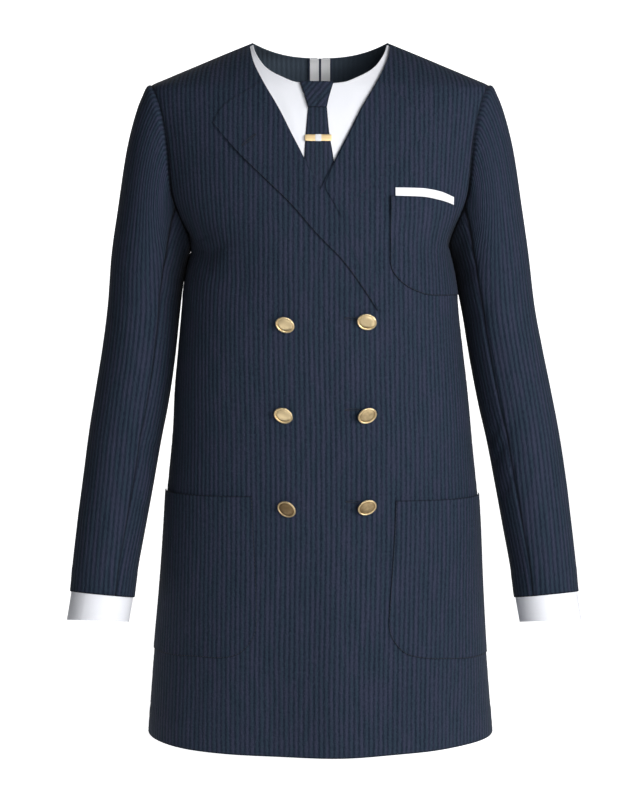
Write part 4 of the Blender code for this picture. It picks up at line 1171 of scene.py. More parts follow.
        fill = half * rounded(np.minimum(free, up))
        outer, inner = (form.place(q, z, side, out - half + part) for part in (fill, -fill))
        uv = np.stack([arc, up], -1)
        seam = np.minimum(to_edge, seam_top)
        # Painted shadow in the seams and along the hem's edge, then painted shade under the arm
        shade = 0.75 * bell(seam, 1.5) + 0.5 * bell(up, 1.6)
        under = fade(z, *self.under_from) * fade(z, *self.under_to)
        shade = np.minimum(shade + self.under_dark * under * bell(to_edge, self.under_reach), DARKEST)
        # Painted light on the inside of the back's neck
        lit = -self.neck_light * fade(z, *self.neck_from) if side is Side.BACK else None
        shell = Cloth(name + "_cloth", outer, inner, uv, SUITING, shade=shade, inner_shade=lit)
        shell.build([name], "hung")

    def build(self) -> None:
        """Makes the three panels."""
        half = self.columns(self.front_neck_u)
        whole = np.concatenate([-half[:0:-1], half])
        self.panel("front", Side.FRONT, whole, self.front_neck_u, self.neck_edge)
        neck_x, neck_z = self.form.neck_point
        x = neck_x * np.linspace(1, 0, 7)
        z = neck_z - (self.form.back_neck_drop + neck_z) * (1 - (x / neck_x) ** self.form.back_neck_flatness)
        neck = tuple(map(tuple, np.stack([x, z], -1)))
        half = self.columns(self.back_neck_u)
        self.panel("back_left", Side.BACK, -half[::-1], self.back_neck_u, neck)
        self.panel("back_right", Side.BACK, half, self.back_neck_u, neck)


@dataclass
class Patch:
    """A piece of cloth laid on the body's form over a grid of q and z."""

    form: GarmentForm
    name: str
    grid: Array
    low: float
    high: float
    finish: Finish
    side: Side = Side.FRONT
    grain: Grain = Grain.STRAIGHT
    lift: Array | float = 0.0
    free: Array | None = None
    edge_shade: Array | float = 0.7

    def build(self, nodes: Sequence[str], held: str = "laid", rests_on: Sequence[str] = ()) -> None:
        """Makes the patch between two distances from the form, with rounded free edges.

        Args:
            nodes: The solids that it stands for.
            held: How the cloth is held; not used.
            rests_on: What it lies on; not used.
        """
        q, z = self.grid[..., 0], self.grid[..., 1]
        middle = (self.low + self.high) / 2 + self.lift
        half = (self.high - self.low) / 2
        fill = half * rounded(self.edge_distance() if self.free is None else self.free)
        outer, inner = (self.form.place(q, z, self.side, middle + part) for part in (fill, -fill))
        # Painted shadow along the edges, where the patch stands off the cloth under it
        shade = self.edge_shade * bell(self.edge_distance(), 0.85)
        arc = self.form.arc(q, z, self.side)
        cosine, sine = math.cos(self.grain.value), math.sin(self.grain.value)
        uv = np.stack([arc * cosine - z * sine, arc * sine + z * cosine], -1)
        Cloth(self.name, outer, inner, uv, self.finish, shade=shade).build(nodes, held, rests_on)

    def edge_distance(self) -> Array:
        """Distance of each point from the nearest edge of the grid, along its lines."""
        bare = self.form.place(self.grid[..., 0], self.grid[..., 1], self.side)
        across = run_lengths(bare, 1)
        down = run_lengths(bare, 0)
        return np.minimum.reduce([across, across[:, -1:] - across, down, down[-1:] - down])


@dataclass(frozen=True)
class Stitching:
    """A row of short stitches: small pointed spindles laid end to end with gaps."""

    length: float = 2.4
    gap: float = 1.4
    thickness: float = 0.6
    segments: int = 6

    def build(self, name: str, lines: Sequence[Array], normals: Sequence[Array], finish: Finish) -> None:
        """Makes all the rows as one mesh.

        A stitch is five rings along its run, whose radius is half the thickness times the square
        root of the sine of the way along, and which arches a little off the cloth.

        Args:
            name: Name of the object.
            lines: Points of each row, closely spaced.
            normals: The cloth's outward normals at those points.
            finish: The thread.
        """
        points = []
        faces = []
        first = 0
        way = np.array([0.06, 0.3, 0.5, 0.7, 0.94])
        swell = np.sqrt(np.sin(math.pi * way))
        turn = full_turn(self.segments)
        for line, normal in zip(lines, normals):
            length = run_lengths(line, 0)
            count = int(length[-1] // (self.length + self.gap))
            starts = np.arange(count) * (self.length + self.gap)
            at = starts[:, None] + way[None] * self.length
            centre = np.stack([np.interp(at, length, line[:, k]) for k in range(3)], -1)
            outwards = unit(np.stack([np.interp(at, length, normal[:, k]) for k in range(3)], -1))
            run = unit(np.gradient(centre, axis=1))
            aside = np.cross(run, outwards)
            centre = centre + outwards * (0.12 * np.sin(math.pi * way))[None, :, None]
            radius = 0.5 * self.thickness * swell[None, :, None, None]
            ring = np.cos(turn)[:, None] * aside[:, :, None] + np.sin(turn)[:, None] * outwards[:, :, None]
            made = centre[:, :, None] + radius * ring
            points.append(made.reshape(-1, 3))
            one = tube_faces(len(way), self.segments)
            cells = one[None] + (np.arange(count) * len(way) * self.segments)[:, None, None] + first
            faces.append(cells.reshape(-1, 4))
            first += count * len(way) * self.segments
        obj = Surface(name, np.concatenate(points), np.concatenate(faces)[:, ::-1], finish).build()
        settle(obj)

    def on_front(self, name: str, form: GarmentForm, rows: Sequence[tuple[Array, float]]) -> None:
        """Rows along x, z lines of the front view, each at a height over the form."""
        lines = []
        normals = []
        for row, height in rows:
            q, z = form.on_q(along(row, np.linspace(0, 1, 240))).T
            lines.append(form.place(q, z, Side.FRONT, height))
            normals.append(form.normal(q, z, Side.FRONT))
        self.build(name, lines, normals, NAVY_THREAD)


@dataclass
class ShirtFront:
    """The white bib in the V, the sewn-on tie and its bar."""

    form: GarmentForm
    neck_edge: Table = (
        (77.6, 0.9), (74.0, -9.0), (65.0, -22.6), (56.8, -29.8), (43.5, -37.0), (27.0, -43.5), (0.0, -46.3),
    )
    lower_edge: Table = (
        (90.5, -4.5), (85.0, -25.0), (74.5, -46.0), (53.5, -82.5), (42.0, -105.5), (30.0, -129.0),
        (0.0, -181.0),
    )
    # Height, left x, right x
    knot: Table = ((-45.5, -22.7, 15.3), (-55.0, -19.6, 12.5), (-64.7, -16.4, 9.8), (-74.9, -13.5, 7.6))
    blade: Table = ((-69.0, -13.1, 7.5), (-99.7, -15.7, 10.1), (-135.0, -18.0, 15.6), (-176.0, -20.0, 19.0))
    bar_x: tuple[float, float] = (-17.0, 13.2)
    bar_z: float = -109.0
    bar_half: float = 3.7
    bib_rise: tuple[float, float, float] = (1.3, -28.0, 24.0)
    bib_size: tuple[float, float] = (118.0, 40.0)
    bib_layer: tuple[float, float] = (-4.8, -3.8)
    tie_layer: tuple[float, float] = (-3.5, -2.5)
    enamel_half: float = 3.6
    # The knot's dimple, as a crease in shares of its half width and of its height
    dimple: Table = ((0.2, 0.35, -0.15, 0.95, 0.16, -0.7, 0.4, 0.2, 0.0, 0.3),)
    bib_creases: Table = (
        (-58, -40, -30, -96, 5.0, -0.35, 0.3, 0.5, 2.0), (50, -48, 30, -92, 6.0, -0.3, 0.3, 0.5, -2.0),
        (-44, -52, -24, -120, 7.0, 0.35, 0.4, 0.4, -2.0), (38, -60, 24, -116, 6.0, 0.3, 0.4, 0.4, 1.0),
    )

    def tie_grid(self, rows: Table, count: int, columns: int) -> Array:
        """A grid between the tie's left and right edges."""
        near = (0.3, 0.8, 1.6)
        length = rows[0][0] - rows[-1][0]
        width = rows[0][2] - rows[0][1]
        line = along(rows, steps(length, length / count, near))
        share = steps(width, width / columns, near)
        return np.swapaxes(between(line[:, [1, 0]], line[:, [2, 0]], share), 0, 1)

    def build(self) -> None:
        """Makes the bib, the tie and the bar."""
        form = self.form
        share = steps(self.bib_size[0], 2.2, (0.4, 1.0, 2.0))
        mirror = np.array([-1.0, 1.0])
        lines = []
        for line in (self.neck_edge, self.lower_edge):
            right = along(line, share)
            lines.append(np.concatenate([right * mirror, right[-2::-1]]))
        grid = form.on_q(between(*lines, steps(self.bib_size[1], 1.6, (0.3, 0.8, 1.6))))
        arc = form.arc(grid[..., 0], grid[..., 1], Side.FRONT)
        down = run_lengths(form.place(grid[..., 0], grid[..., 1], Side.FRONT), 0)
        rise, from_z, height = self.bib_rise
        lift = relief(self.bib_creases, arc, grid[..., 1]) + rise * eased((grid[..., 1] - from_z) / height)
        lift = lift + 0.22 * bell(down - 1.6, 1.5) - 0.15 * bell(down - 4.4, 0.9)
        Patch(form, "bib_cloth", grid, *self.bib_layer, SHIRT, lift=lift, free=down).build(["bib"], "hung")

        grid = self.tie_grid(self.knot, 26, 26)
        across = np.linspace(-1, 1, grid.shape[1])
        down = np.linspace(0, 1, grid.shape[0])[:, None]
        lift = (1.9 + 1.4 * (1 - across**4))[None, :] * np.ones_like(down)
        lift = lift - 0.5 * bell(down - 0.96, 0.08)
        lift = lift + relief(self.dimple, *np.broadcast_arrays(across[None], down))
        self.tie_part("tie_knot", grid, lift, Grain.BIAS)

        grid = self.tie_grid(self.blade, 60, 22)
        across = np.linspace(-1, 1, grid.shape[1])
        lift = 0.55 * (1 - np.abs(across) ** 3)[None, :] * np.ones((grid.shape[0], 1))
        self.tie_part("tie_blade", grid, lift, Grain.STRAIGHT)
        self.bar("tie_bar_gilt", self.bar_x, 0.0, SATIN_GILT, ["tie_bar"])
        middle = (self.bar_x[0] + self.bar_x[1]) / 2
        band = (middle - self.enamel_half, middle + self.enamel_half)
        self.bar("tie_bar_enamel", band, 0.14, PALE_ENAMEL, [])

    def tie_part(self, name: str, grid: Array, lift: Array, grain: Grain) -> None:
        """The knot's or the blade's shell."""
        placed = self.form.on_q(grid)
        patch = Patch(self.form, name + "_cloth", placed, *self.tie_layer, TIE_CLOTH, grain=grain, lift=lift)
        patch.build([name], "folded")

    def bar(
        self, name: str, span: tuple[float, float], proud: float, finish: Finish, nodes: Sequence[str]
    ) -> None:
        """A bar with a rounded section, carried along the form.

        The section is the superellipse |y|^4 + |z|^4 = 1 of the bar's half height and thickness,
        and it shrinks to a point at both ends by the eighth root of 1 - s^8.

        Args:
            name: Name of the object.
            span: Its ends' x.
            proud: How much thicker and higher it is than the plain bar.
            finish: Its finish.
            nodes: The solid that it stands for.
        """
        half_length = (span[1] - span[0]) / 2
        s = np.sin(np.linspace(-math.pi / 2, math.pi / 2, 41))
        shrink = np.maximum(1 - s**8, 0) ** 0.125
        shrink[[0, -1]] = 0.02
        turn = full_turn(32)
        fat = (np.abs(np.sin(turn)) ** 4 + np.abs(np.cos(turn)) ** 4) ** -0.25
        up = (self.bar_half + proud) * fat * np.sin(turn)
        out = (0.85 + proud) * fat * np.cos(turn)
        x = (span[0] + span[1]) / 2 + half_length * s[:, None] + 0 * turn
        z = self.bar_z + shrink[:, None] * up
        height = -1.0 + shrink[:, None] * out
        points = self.form.front_place(x, z, height)
        faces = tube_faces(len(s), len(turn))
        # Duller and darker on the back, which faces the tie
        tarnish_and_painted_shading = np.broadcast_to(np.clip(0.5 - 0.5 * np.cos(turn), 0, 1) ** 3, x.shape)
        obj = Surface(name, points.reshape(-1, 3), faces, finish, tarnish_and_painted_shading=tarnish_and_painted_shading.reshape(-1) * 0.3).build()
        settle(obj, nodes)


@dataclass
class Lapels:
    """Both lapels, laid on the front and sewn along their free edges."""

    form: GarmentForm
    left_inner: Table = (
        (-66, -44), (-46, -78), (-35, -101), (-23, -124), (-8, -154), (9, -184), (28, -215), (65, -300),
    )
    left_outer: Table = (
        (-121, -92), (-92, -126), (-61, -156), (-33, -183), (-3, -217), (25, -246), (45, -273), (64, -302),
    )
    left_top: Table = ((-66, -44), (-84, -57), (-103, -68), (-113, -78), (-121, -92))
    right_inner: Table = (
        (66, -44), (46, -78), (35, -101), (23, -124), (12, -146), (6, -163), (15, -181), (23, -196),
    )
    right_outer: Table = (
        (125, -100), (101, -121), (84, -137), (69, -151), (56, -163), (39, -179), (31, -188), (24, -197),
    )
    right_top: Table = ((66, -44), (84, -57), (104, -71), (115, -83), (125, -100))
    stitch_inset: float = 1.1
    size: tuple[float, float] = (290.0, 75.0)
    layer: tuple[float, float] = (0.25, 1.35)

    def one(self, name: str, inner: Table, outer: Table, top: Table, crisp: float) -> tuple[Array, Array]:
        """One lapel's shell, and its free edge as an x, z line for the sewing.

        Args:
            name: The solid that it stands for.
            inner: The edge along the V and the roll line.
            outer: The free edge.
            top: The gorge edge between them.
            crisp: How sharply the free edge shows, up to 1, by its raised lip and the painted shadow along
                it.

        Returns:
            The stitching lines along the outer edge and the gorge.
        """
        share = steps(self.size[0], 2.6, (0.4, 1.0, 2.0))
        inwards = steps(self.size[1], 2.2, (0.3, 0.8, 1.6, 2.6))
        grid = between(along(inner, share), along(outer, share), inwards)
        bulge = along(top, inwards) - grid[:, 0]
        grid = grid + bulge[:, None] * ((1 - share) ** 4)[None, :, None]
        flat = self.form.front_place(grid[..., 0], grid[..., 1])
        fall = run_lengths(flat, 0)
        to_free = fall[-1:] - fall
        run = run_lengths(flat, 1)
        lift = ripple(to_free, run, 6.0, 5.4, 0.42, 0.7 if name.endswith("left") else 2.3)
        lift = lift - 0.2 * bell(to_free - self.stitch_inset, 0.8)
        lift = lift + 0.25 * np.sin(run / 23.0 + to_free / 17.0) + crisp * 0.55 * bell(to_free, 2.2)
        lift = lift * eased(fall / 6.0)
        # Painted shadow along the free edge, fading in from the gorge, and faint on the other edges
        shade = crisp * np.where(to_free < 3.0, eased((run - 16.0) / 26.0), 0.12)
        placed = self.form.on_q(grid)
        patch = Patch(self.form, name + "_cloth", placed, *self.layer, SUITING, lift=lift, edge_shade=shade)
        patch.build([name], "laid", ["front_cloth"])
        edge = grid[-1] + unit(grid[-2] - grid[-1]) * self.stitch_inset
        gorge = grid[:, 0] + unit(grid[:, 1] - grid[:, 0]) * self.stitch_inset
        return edge[2:-4], gorge[2:-1]

    def build(self) -> None:
        """Makes both lapels and their sewing."""
        left = self.one("lapel_left", self.left_inner, self.left_outer, self.left_top, 0.85)
        right = self.one("lapel_right", self.right_inner, self.right_outer, self.right_top, 0.12)
        rows = [(line[:: max(len(line) // 24, 1)], 1.4) for line in (*left, *right)]
        Stitching().on_front("lapel_stitching", self.form, rows[:1])
        fine = Stitching(length=1.6, gap=2.6, thickness=0.3)
        fine.on_front("lapel_fine_stitching", self.form, rows[1:])


@dataclass
class Pockets:
    """Two hip pockets, the breast pocket and the white square in its mouth."""

    form: GarmentForm
    # The mouth's inner corner, then the lower edge
    hip_left: Table = (
        (-76, -511), (-71, -648), (-73, -664), (-80, -680), (-95, -694), (-116, -699), (-140, -700),
        (-165, -703),
    )
    hip_right: Table = (
        (85, -516), (78, -656), (80, -669), (87, -682), (100, -694), (121, -700), (150, -704), (175, -708),
    )
    hip_mouth_fall: float = 7.0
    hip_lower_fall: float = 4.0
    hip_gape: float = 1.1
    end_q: float = 0.978
    breast_mouth: Table = ((78.0, -174.0), (112.0, -175.0), (135.0, -179.0))
    breast_mouth_end: tuple[float, float] = (0.84, -186.0)
    breast_lower: Table = ((78, -247), (80, -256), (85, -264), (94, -273), (106, -280), (124, -286))
    breast_lower_end: tuple[float, float] = (0.87, -289.0)
    breast_gape: float = 1.75
    breast_bridge: tuple[float, float, float] = (0.8, -236.0, 30.0)
    square_top: Table = ((84.0, -165.0), (112.0, -165.5), (134.0, -169.0), (151.0, -175.5))
    square_foot: Table = ((84.0, -183.0), (112.0, -184.0), (134.0, -188.0), (151.0, -195.0))
    layer: tuple[float, float] = (0.3, 1.5)
    square_layer: tuple[float, float] = (0.7, 1.7)
    stitch_inset: float = 1.3
    mouth_stitch: float = 24.0
    near: tuple[float, ...] = (0.35, 0.9, 2.0)
    hip_size: tuple[float, float] = (150.0, 190.0)
    breast_size: tuple[float, float] = (88.0, 110.0)
    square_size: tuple[float, float] = (70.0, 18.0)

    def q_line(self, points: Table, end: tuple[float, float], share: Array) -> Array:
        """q, z at shares of a line of x, z points that ends at a given q, z."""
        scale = np.array([self.form.quarter_arc, 1.0])
        line = np.concatenate([self.form.on_q(points), [end]]) * scale
        return along(line, share) / scale

    def patch(self, name: str, grid: Array, lift: Array, phase: float) -> list[Array]:
        """One pocket's shell, puckered along its sewn edges.

        Args:
            name: The solid that it stands for.
            grid: q, z from the mouth down.
            lift: How far the pocket stands off the front.
            phase: Start of the puckers.

        Returns:
            Points and normals of the two rows of sewing.
        """
        form = self.form
        flat = form.place(grid[..., 0], grid[..., 1], Side.FRONT)
        across = run_lengths(flat, 1)
        fall = run_lengths(flat, 0)
        outer_edge = across[:, -1:] - across
        foot = fall[-1:] - fall
        made = lift + ripple(across, fall, 5.0, 6.3, 0.26, phase) * eased(fall / 6.0)
        made = made + ripple(foot, across, 6.5, 6.4, 0.45, phase + 1.0)
        made = made + ripple(outer_edge, fall, 5.5, 7.0, 0.2, phase + 2.0) * eased(fall / 6.0)
        sewn = np.minimum(np.minimum(across, outer_edge), foot)
        made = made - 0.3 * bell(sewn - self.stitch_inset, 0.9)
        made = made - 0.18 * bell(fall - self.mouth_stitch)
        made = made + 0.3 * np.sin(across / 19.0 + fall / 43.0 + phase) * eased(sewn / 14.0)
        patch = Patch(form, name + "_cloth", grid, *self.layer, SUITING, lift=made)
        patch.build([name], "laid", ["front_cloth"])
        outer = form.place(grid[..., 0], grid[..., 1], Side.FRONT, made + self.layer[1] + 0.05)
        normal = form.normal(grid[..., 0], grid[..., 1], Side.FRONT)
        column = int(np.argmin(np.abs(across[len(grid) // 2] - self.stitch_inset)))
        row = int(np.argmin(np.abs(foot[:, grid.shape[1] // 2] - self.stitch_inset)))
        return [outer[2:row, column], normal[2:row, column], outer[row, column:-2], normal[row, column:-2]]

    def hip(self, name: str, line: Table, phase: float) -> list[Array]:
        """One hip pocket, gaping a little at the outer end of its mouth."""
        sign = 1 if line[0][0] > 0 else -1
        start = self.form.on_q(np.array(line[0], float))
        lower = line[1:]
        across, down = (steps(length, 2.8, self.near) for length in self.hip_size)
        foot = self.q_line(lower, (sign * self.end_q, lower[-1][1] - self.hip_lower_fall), across)
        end = np.array([sign * self.end_q, start[1] - self.hip_mouth_fall])
        mouth = start + (end - start) * across[:, None]
        gape = self.hip_gape * (1 - down[:, None]) ** 4 * (0.35 + 0.65 * across)
        return self.patch(name, between(mouth, foot, down), gape, phase)

    def build(self) -> None:
        """Makes the pockets, the square and the sewing."""
        sewn = [
            self.hip("hip_pocket_left", self.hip_left, 0.3),
            self.hip("hip_pocket_right", self.hip_right, 2.6),
        ]
        across, down = (steps(length, 2.4, self.near) for length in self.breast_size)
        mouth = self.q_line(self.breast_mouth, self.breast_mouth_end, across)
        foot = self.q_line(self.breast_lower, self.breast_lower_end, across)
        grid = between(mouth, foot, down)
        edge = between(np.array([self.breast_mouth[0]]), np.array([self.breast_lower[0]], float), down)
        straighten = self.form.on_q(edge)[..., 0] - grid[:, :1, 0]
        grid[..., 0] += straighten * (1 - across) ** 2
        rise, middle, half = self.breast_bridge
        gape = self.breast_gape * (1 - eased((down - 0.14) / 0.28))[:, None]
        lift = gape + rise * bell(grid[..., 1] - middle, half)
        sewn.append(self.patch("breast_pocket", grid, lift, 4.1))
        lines = [part for rows in sewn for part in (rows[0], rows[2])]
        normals = [part for rows in sewn for part in (rows[1], rows[3])]
        Stitching().build("pocket_stitching", lines, normals, NAVY_THREAD)
        share = steps(self.square_size[0], 2.0, (0.3, 0.8, 1.6))
        fall = steps(self.square_size[1], 1.2, (0.3, 0.7))
        grid = self.form.on_q(between(along(self.square_top, share), along(self.square_foot, share), fall))
        lift = 0.12 * np.sin(share * 11.0)[None, :] * np.ones((grid.shape[0], 1))
        square = Patch(self.form, "pocket_square_cloth", grid, *self.square_layer, SHIRT, lift=lift)
        square.build(["pocket_square"], "folded", ["front_cloth"])


@dataclass
class Sleeves:
    """Top sleeve, undersleeve and shirt cuff of each arm."""

    form: SleeveForm
    seam: float = 120.0
    arm_seam: Seam = Seam(1.0, 2.4, 0.3)
    # Painted shade on the inner side below the armhole, and how far down the sleeve it reaches
    under_dark: float = 0.95
    under_reach: float = 120.0
    seam_gap: float = 0.005
    thickness: float = 1.2
    cuff_thickness: float = 1.0
    end_share: float = 13.0
    cuff_shares: tuple[float, float] = (12.6, 14.0)
    cuff_inset: float = 1.5
    cuff_depth: float = 42.0
    cuff_columns: int = 150
    length: float = 620.0
    hem_depth: float = 28.0
    corner: float = 64.0
    pressed: float = 0.3
    # Creases in degrees round the arm, about a millimetre each, and length down from the armhole
    left_creases: Table = (
        (150, 40, 84, 92, 8.0, -1.6, 0.2, 0.6, 6.0), (162, 74, 96, 136, 9.0, -1.5, 0.2, 0.6, -6.0),
        (128, 120, 70, 176, 10.0, 1.2, 0.3, 0.6, 6.0), (174, 236, 100, 262, 8.0, -1.9, 0.2, 0.6, 5.0),
        (166, 270, 84, 282, 8.5, -1.7, 0.2, 0.6, -5.0), (178, 304, 112, 326, 8.0, -1.5, 0.2, 0.6, 5.0),
        (120, 336, 52, 362, 10.0, -1.2, 0.4, 0.6, -4.0), (36, 180, 22, 290, 12.0, 1.0, 0.5, 0.5, 4.0),
        (74, 420, 60, 520, 11.0, -1.1, 0.5, 0.5, 4.0), (20, 470, 26, 560, 10.0, 0.9, 0.5, 0.4, -3.0),
        (-60, 90, -96, 180, 11.0, -1.4, 0.4, 0.5, 5.0), (-150, 230, -90, 276, 9.0, -1.8, 0.2, 0.6, -5.0),
        (-168, 262, -96, 300, 9.0, -1.6, 0.2, 0.6, 5.0), (-84, 380, -60, 500, 12.0, 1.1, 0.5, 0.5, -4.0),
    )
    right_creases: Table = (
        (154, 36, 92, 84, 8.0, -1.5, 0.2, 0.6, 5.0), (166, 82, 104, 150, 9.5, -1.4, 0.2, 0.6, -6.0),
        (120, 130, 60, 196, 11.0, 1.1, 0.3, 0.6, 5.0), (172, 226, 108, 246, 8.0, -1.7, 0.2, 0.6, 4.0),
        (178, 258, 92, 284, 9.0, -1.9, 0.2, 0.6, -6.0), (164, 300, 90, 310, 8.0, -1.4, 0.2, 0.6, 4.0),
        (112, 340, 58, 380, 10.0, -1.1, 0.4, 0.6, -4.0), (44, 200, 34, 320, 12.0, 1.0, 0.5, 0.5, -4.0),
        (66, 430, 80, 540, 11.0, -1.2, 0.5, 0.5, 4.0), (14, 400, 8, 520, 11.0, 0.9, 0.5, 0.4, 3.0),
        (-66, 100, -100, 200, 11.0, -1.3, 0.4, 0.5, -5.0), (-156, 240, -84, 262, 9.0, -1.7, 0.2, 0.6, 5.0),
        (-160, 284, -100, 318, 9.0, -1.5, 0.2, 0.6, -5.0), (-76, 400, -84, 520, 12.0, 1.0, 0.5, 0.5, 4.0),
    )

    def height(self, degrees: Array, run: Array, total: Array, arm: int) -> Array:
        """How far the sleeve stands out of its form.

        Creases, the valleys at the armhole and the two arm seams, the roll of the sleeve head
        beside the armhole, and the turned hem.

        Args:
            degrees: Angle round the arm, 0 at the outer edge.
            run: Length down from the armhole.
            total: Whole length of each column.
            arm: -1 for the left, 1 for the right.

        Returns:
            The height in millimetres.
        """
        creases = self.left_creases if arm < 0 else self.right_creases
        wrapped = (degrees + 180.0) % 360.0 - 180.0
        made = relief(creases, wrapped, run) + relief(creases, wrapped + 360.0, run)
        to_seam = np.abs(np.abs(wrapped) - self.seam)
        made = made + self.arm_seam.height(to_seam) + ripple(to_seam, run, 8.0, 10.0, 0.2, 0.9 + arm)
        cosine = np.cos(np.radians(wrapped))
        head = np.clip(cosine, 0, 1)
        made = made - (1.1 - 0.8 * np.abs(cosine)) * bell(run, 2.4)
        made = made + (0.35 + 0.3 * head) * bell(run - 8.0, 6.0)
        made = made + ripple(run, wrapped, 16.0, 13.0, 0.3, 1.9 + arm) * (0.4 + 0.6 * head)
        up = total - run
        hem = fade(up, self.hem_depth + 2.0, -4.0)
        return made + 0.3 * hem + ripple(up - self.hem_depth, wrapped, 5.0, 7.0, 0.15, 0.2 + arm)

    def shell(self, name: str, arm: int, first: float, last: float) -> None:
        """One sleeve piece between two angles, from the armhole to its hem."""
        degrees = first + (last - first) * steps(last - first, 2.8)
        share = steps(self.length, 3.4) * self.end_share
        angle = np.radians(degrees)
        points, normal = self.form.surface(angle, share, arm)
        run = run_lengths(points, 0)
        across = run_lengths(points, 1)
        centre = np.interp((first + last) / 2, degrees, np.arange(len(degrees)))
        low = int(centre)
        middle = across[:, low] + (across[:, low + 1] - across[:, low]) * (centre - low)
        out = self.height(degrees[None] + 0 * run, run, run[-1:], arm)
        to_seam = np.abs(np.abs((degrees + 180.0) % 360.0 - 180.0) - self.seam)[None] + 0 * run
        head = np.clip(np.cos(angle), 0, 1)[None]
        # Painted shadow in the arm seams, at the hem's edge and at the armhole, then painted shade under the
        # arm
        shade = 0.6 * bell(to_seam, 1.6) + 0.65 * bell(run[-1:] - run, 1.8)
        shade = np.maximum(shade, (0.8 - 0.6 * head) * bell(run, 1.5))
        under = np.clip(-np.cos(angle) - 0.1, 0, 1)[None] * bell(run, self.under_reach)
        shade = np.minimum(shade + self.under_dark * under, DARKEST)
        cloth_map = np.stack([across - middle[:, None], -run], -1)
        self.wall(name, arm, points, normal, out, self.thickness, cloth_map, finish=SUITING, shade=shade)

    @staticmethod
    def wall(
        name: str,
        arm: int,
        points: Array,
        normal: Array,
        out: Array,
        thickness: float,
        uv: Array,
        **looks: object,
    ) -> None:
        """A shell of a thickness under a surface, rounded at its lower edge, on one arm."""
        run = run_lengths(points, 0)
        half = thickness / 2
        fill = half * rounded(run[-1:] - run)
        mirror = np.array([arm, 1.0, 1.0])
        outer, inner = ((points + normal * (out - half + part)[..., None]) * mirror for part in (fill, -fill))
        Cloth(name + "_cloth", outer, inner, uv, **looks).build([name], "hung")

    def cuff(self, name: str, arm: int) -> None:
        """The shirt cuff that shows below the sleeve: a stiff band with a squarer section."""
        degrees = np.linspace(0, 360, self.cuff_columns, endpoint=False)
        angle = np.radians(degrees)
        first, last = self.cuff_shares
        share = first + (last - first) * steps(self.cuff_depth, 1.6, (0.3, 0.8, 1.6, 2.6))
        closed_angle = np.concatenate([angle[-1:] - 2 * math.pi, angle, angle[:1] + 2 * math.pi])
        points, normal = self.form.surface(closed_angle, share, arm)
        points, normal = points[:, 1:-1], normal[:, 1:-1]
        run = run_lengths(points, 0)
        up = run[-1:] - run
        out = -self.cuff_inset + 0.15 * bell(up - 5.0, 1.4) - 0.3 * bell(up - 6.5, 0.8)
        out = out + self.pressed * np.exp(-np.abs(degrees - self.corner) / 9.0)[None] * eased(run / 14.0)
        cloth_map = np.stack([run_lengths(points, 1), -run], -1)
        self.wall(name, arm, points, normal, out, self.cuff_thickness, cloth_map, finish=SHIRT, closed=True)

    def build(self) -> None:
        """Makes both arms."""
        for side_name, arm in (("left", -1), ("right", 1)):
            top, under = self.seam - self.seam_gap, self.seam + self.seam_gap
            self.shell("topsleeve_" + side_name, arm, -top, top)
            self.shell("undersleeve_" + side_name, arm, under, 360 - under)
            self.cuff("cuff_" + side_name, arm)


